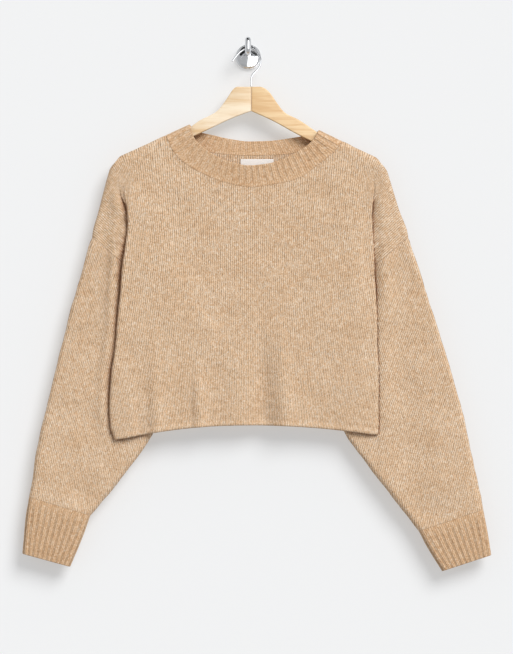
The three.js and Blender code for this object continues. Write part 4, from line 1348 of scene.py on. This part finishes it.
def ring_mesh(name, points, rings, sides):
    """Mesh from rings of points, closed at both ends by a fan to a centre point."""
    vertices = [tuple(p) for p in points * MM]
    faces = []
    for i in range(rings - 1):
        for j in range(sides):
            k = (j + 1) % sides
            faces.append((i * sides + j, i * sides + k, (i + 1) * sides + k, (i + 1) * sides + j))
    for ring, flip in ((0, True), (rings - 1, False)):
        loop = [ring * sides + j for j in range(sides)]
        centre = np.mean([vertices[k] for k in loop], axis=0)
        vertices.append(tuple(centre))
        hub = len(vertices) - 1
        for j in range(sides):
            pair = (loop[j], loop[(j + 1) % sides])
            faces.append((pair[1], pair[0], hub) if flip else (pair[0], pair[1], hub))
    mesh = bpy.data.meshes.new(name)
    mesh.from_pydata(vertices, [], faces)
    mesh.polygons.foreach_set("use_smooth", np.ones(len(faces), bool))
    mesh.update()
    turn_outward(mesh)
    return add_object(name, mesh)


def turn_outward(mesh):
    """Joins doubled points of a closed mesh and makes every face look outward."""
    work = bmesh.new()
    work.from_mesh(mesh)
    bmesh.ops.remove_doubles(work, verts=work.verts, dist=WELD * MM)
    bmesh.ops.recalc_face_normals(work, faces=work.faces)
    work.to_mesh(mesh)
    work.free()


def build_arm(key):
    """One wooden arm: a smooth outline with rounded edges, flat on both faces."""
    _, fittings = settings()
    arm = ARMS[key]
    sign = SIDES[key]["sign"]
    thickness = fittings.wood_thickness / MM
    bevel = HANGER["bevel"]
    drop = CLOTH / 2 + HANGER["clearance"]
    shoulder_x = SIDES[key]["shoulder"][0]
    tip_top = float(shoulder_line(sign * HANGER["tip"])) - drop
    seam = HANGER["seam"] + sign * HANGER["gap"]
    top = curve_through([(sign * HANGER["crown"], HANGER["top"]), *arm["top"], (
        sign * shoulder_x, float(shoulder_line(sign * shoulder_x)) - drop)], 40)
    corners = [(sign * (HANGER["tip"] + out), tip_top + up) for out, up in TIP_OUTLINE]
    tip = curve_through(corners, 14)
    under = curve_through([corners[-1], *arm["under"][::-1], (seam, HANGER["under"])], 40)
    outline = np.vstack(([(seam, HANGER["top"])], top, tip, under[1:]))
    curve = bpy.data.curves.new("arm outline", "CURVE")
    curve.dimensions = "2D"
    curve.fill_mode = "BOTH"
    curve.extrude = (thickness / 2 - bevel) * MM
    curve.bevel_depth = bevel * MM
    curve.bevel_resolution = 4
    curve.offset = -bevel * MM
    spline = curve.splines.new("POLY")
    spline.points.add(len(outline) - 1)
    for point, (x, z) in zip(spline.points, outline):
        point.co = (x * MM, z * MM, 0, 1)
    spline.use_cyclic_u = True
    maker = add_object("arm maker", curve)
    bpy.context.view_layer.update()
    mesh = bpy.data.meshes.new_from_object(maker.evaluated_get(
        bpy.context.evaluated_depsgraph_get()))
    bpy.data.objects.remove(maker)
    count = len(mesh.vertices)
    co = np.empty(count * 3, np.float32)
    mesh.vertices.foreach_get("co", co)
    co = co.reshape(-1, 3)
    placed = np.stack((co[:, 0], MID_Y * MM - co[:, 2], co[:, 1]), axis=1)
    mesh.vertices.foreach_set("co", placed.ravel())
    turn_outward(mesh)
    mesh.polygons.foreach_set("use_smooth", np.ones(len(mesh.polygons), bool))
    mesh.set_sharp_from_angle(angle=math.radians(35))
    # Each arm gets its own copy of the beech, with its own painted light.
    wood = lacquered_beech("lacquered beech " + key, *arm["tone_and_light"], arm["tilt"])
    finish_piece(add_object("hanger_arm_" + key, mesh), wood, "wood", "hanger_" + key)


def build_hook():
    """Hanger wire, wall plate and peg in polished chrome."""
    _, fittings = settings()
    chrome = polished_chrome("polished chrome")
    path = curve_through(WIRE_PATH, 150)
    line = np.stack((path[:, 0], np.full(len(path), MID_Y), path[:, 1]), axis=1)
    wire = round_bar("hanger_wire_bent", line, fittings.wire / MM / 2, 20, True, False)
    finish_piece(wire, chrome, "chrome", "hanger_wire")
    peg_path = curve_through(PEG_PATH, 60)
    trimmed = peg_path[:-PEG["dome_steps"]]
    line = np.stack((np.full(len(trimmed), PEG["x"]), trimmed[:, 0], trimmed[:, 1]), axis=1)
    peg = round_bar("wall_peg_round", line, PEG["radius"], 36, False, True)
    finish_piece(peg, chrome, "chrome", "wall_peg")
    finish_piece(build_plate(), chrome, "chrome", "wall_plate")


def build_plate():
    """Domed round plate turned on a lathe, with a rounded rim."""
    radius, rim, dome = PLATE["radius"], PLATE["rim"], PLATE["dome"]
    profile = [(radius - 0.4, 0.0), (radius, 0.5), (radius, rim - 1.2)]
    profile += [(radius - 0.8 + 0.8 * math.cos(a), rim - 0.8 + 0.8 * math.sin(a))
                for a in np.linspace(0, math.pi / 2, 6)]
    for a in np.linspace(0.12, math.pi / 2, 22):
        profile.append(((radius - 1.2) * math.cos(a) + 0.02, rim + (dome - rim) * math.sin(a)))
    points = []
    for r, depth in profile:
        for angle in np.arange(PLATE["sides"]) * 2 * math.pi / PLATE["sides"]:
            points.append((r * math.cos(angle), -depth, r * math.sin(angle)))
    return ring_mesh("wall_plate_turned", np.array(points), len(profile), PLATE["sides"])


# ------------------------------------------------------------------ stage
# In metres. The wall panel stands just behind the plate, and the floor meets its lower edge.
ROOM = {"wall_y": 0.0008, "half": 1.5, "top": 0.95, "bottom": -1.45, "front": -3.0}
VIEW = {"x": 0.0131, "y": -0.036, "z": -0.4336, "tall": 1.0464, "away": 9.0, "sensor": 36.0}
WORLD_LIGHT = 0.545
KEY_SUN = {"from": (0.58, -1.0, 0.82), "spread": 30, "power": 2.56}
BACK_SOFTBOX = {"place": (-0.8, 2.6, 0.8), "target": (0, 0, -0.4), "size": 1.6, "power": 26}
# Cards that only show in glossy surfaces: place, size, colour and glow.
CARDS = {
    "dark flag": ((0, -0.62, 0.66), 1.5, "#050505", 0.0),
    "bright card": ((0.30, -0.75, -0.28), 0.72, "#FFFFFF", 2.6),
}


def build_stage():
    """Pale wall panel and floor, soft lights and the camera."""
    _, fittings = settings()
    low, high = CAD_BOX
    centre_x = (low.x + high.x) / 2
    left, right = centre_x - ROOM["half"], centre_x + ROOM["half"]
    wall_y, bottom = ROOM["wall_y"], ROOM["bottom"]
    paint = painted_wall("matt white emulsion", fittings.wall_colour, fittings.wall_glow)
    boards = painted_wall("matt grey floor paint", linear("#B4B4B4"), 0.0)
    wall = add_square("wall", paint, (
        (left, wall_y, bottom), (right, wall_y, bottom), (right, wall_y, ROOM["top"]),
        (left, wall_y, ROOM["top"]),
    ))
    wall.visible_shadow = False
    wall.visible_diffuse = False
    add_square("floor", boards, (
        (left, ROOM["front"], bottom), (right, ROOM["front"], bottom), (right, wall_y, bottom),
        (left, wall_y, bottom),
    ))
    for name, (place, size, code, glow) in CARDS.items():
        add_card(name, place, size, code, glow)

    world = bpy.data.worlds.new("pale studio")
    world.use_nodes = True
    background = world.node_tree.nodes["Background"]
    background.inputs["Color"].default_value = (1, 1, 1, 1)
    background.inputs["Strength"].default_value = WORLD_LIGHT
    bpy.context.scene.world = world
    bpy.context.scene.view_settings.view_transform = "Standard"
    add_lights()
    add_camera()


def add_square(name, material, corners):
    """Flat four-cornered sheet of the stage."""
    mesh = bpy.data.meshes.new(name)
    mesh.from_pydata(corners, [], [(0, 1, 2, 3)])
    mesh.materials.append(material)
    sheet = add_object(name, mesh)
    return sheet


def add_card(name, place, size, code, glow):
    """Square card turned to the hook, that only shows in glossy surfaces."""
    material, add = new_material(name + " paper")
    shader = add("ShaderNodeBsdfPrincipled", {
        "Base Color": linear(code), "Emission Color": linear(code), "Emission Strength": glow,
    })
    add("ShaderNodeOutputMaterial", {"Surface": shader})
    half = size / 2
    card = add_square(name, material, (
        (-half, -half, 0), (half, -half, 0), (half, half, 0), (-half, half, 0),
    ))
    card.location = place
    card.rotation_euler = Vector(place).to_track_quat("Z", "Y").to_euler()
    card.visible_camera = False
    card.visible_diffuse = False
    card.visible_shadow = False
    card.visible_transmission = False


def add_lights():
    """A soft sun that lights the wall evenly, and a softbox behind for the garment's back."""
    sun = bpy.data.lights.new("key sun", "SUN")
    sun.angle = math.radians(KEY_SUN["spread"])
    sun.energy = KEY_SUN["power"]
    lamp = add_object("key sun", sun)
    lamp.rotation_euler = (-Vector(KEY_SUN["from"])).to_track_quat("-Z", "Y").to_euler()

    box = bpy.data.lights.new("back softbox", "AREA")
    box.size = BACK_SOFTBOX["size"]
    box.energy = BACK_SOFTBOX["power"]
    lamp = add_object("back softbox", box)
    lamp.location = BACK_SOFTBOX["place"]
    way = Vector(BACK_SOFTBOX["target"]) - Vector(BACK_SOFTBOX["place"])
    lamp.rotation_euler = way.to_track_quat("-Z", "Y").to_euler()


def add_camera():
    """Camera square to the wall, far enough away that the garment shows almost flat."""
    lens = bpy.data.cameras.new("camera")
    lens.sensor_fit = "AUTO"
    lens.sensor_width = VIEW["sensor"]
    lens.lens = VIEW["sensor"] * VIEW["away"] / VIEW["tall"]
    lens.clip_end = 50
    camera = add_object("camera", lens)
    camera.location = (VIEW["x"], VIEW["y"] - VIEW["away"], VIEW["z"])
    camera.rotation_euler = (math.pi / 2, 0, 0)
    bpy.context.scene.camera = camera


# ------------------------------------------------------------------ operators
class JUMPER_OT_body(bpy.types.Operator):
    """Builds the front and back panels"""

    bl_idname = "jumper.body"
    bl_label = "Body panels"

    def execute(self, context):
        for name, face in (("front", 1), ("back", -1)):
            piece = build_panel(name, face)
        return {"FINISHED"}


class JUMPER_OT_sleeves(bpy.types.Operator):
    """Builds the two sleeves"""

    bl_idname = "jumper.sleeves"
    bl_label = "Sleeves"

    def execute(self, context):
        for key in SIDES:
            piece = build_sleeve(key)
        return {"FINISHED"}


class JUMPER_OT_ribbing(bpy.types.Operator):
    """Builds the cuffs and the neckband"""

    bl_idname = "jumper.ribbing"
    bl_label = "Cuffs and neckband"

    def execute(self, context):
        for key in SIDES:
            piece = build_cuff(key)
        piece = build_neckband()
        return {"FINISHED"}


class JUMPER_OT_label(bpy.types.Operator):
    """Builds the blank neck label"""

    bl_idname = "jumper.label"
    bl_label = "Neck label"

    def execute(self, context):
        piece = build_label()
        return {"FINISHED"}


class JUMPER_OT_hanger(bpy.types.Operator):
    """Builds the wooden hanger, its wire and the wall hook"""

    bl_idname = "jumper.hanger"
    bl_label = "Hanger and wall hook"

    def execute(self, context):
        for key in SIDES:
            build_arm(key)
        build_hook()
        return {"FINISHED"}


class JUMPER_OT_stage(bpy.types.Operator):
    """Builds the wall, the floor, the lights and the camera"""

    bl_idname = "jumper.stage"
    bl_label = "Stage"

    def execute(self, context):
        build_stage()
        return {"FINISHED"}


class JUMPER_PT_panel(bpy.types.Panel):
    """Lists the jumper's settings and its pieces"""

    bl_label = "Hanging jumper"
    bl_idname = "JUMPER_PT_panel"
    bl_space_type = "VIEW_3D"
    bl_region_type = "UI"
    bl_category = "Jumper"

    def draw(self, context):
        for group in (context.scene.jumper_knit, context.scene.jumper_fittings):
            for name in group.__annotations__:
                self.layout.prop(group, name)
        for operator in OPERATORS:
            self.layout.operator(operator.bl_idname)


OPERATORS = (
    JUMPER_OT_body, JUMPER_OT_sleeves, JUMPER_OT_ribbing, JUMPER_OT_label, JUMPER_OT_hanger,
    JUMPER_OT_stage,
)
CLASSES = (JumperKnit, JumperFittings, *OPERATORS, JUMPER_PT_panel)


def register():
    """Registers every class and gives the scene its settings."""
    for item in CLASSES:
        bpy.utils.register_class(item)
    bpy.types.Scene.jumper_knit = bpy.props.PointerProperty(type=JumperKnit)
    bpy.types.Scene.jumper_fittings = bpy.props.PointerProperty(type=JumperFittings)


def unregister():
    """Takes the settings and every class away again."""
    del bpy.types.Scene.jumper_fittings
    del bpy.types.Scene.jumper_knit
    for item in reversed(CLASSES):
        bpy.utils.unregister_class(item)


def main():
    """Builds every piece in order."""
    register()
    bpy.ops.jumper.body()
    bpy.ops.jumper.sleeves()
    bpy.ops.jumper.ribbing()
    bpy.ops.jumper.label()
    bpy.ops.jumper.hanger()
    bpy.ops.jumper.stage()
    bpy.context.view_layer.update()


if __name__ == "__main__":
    main()
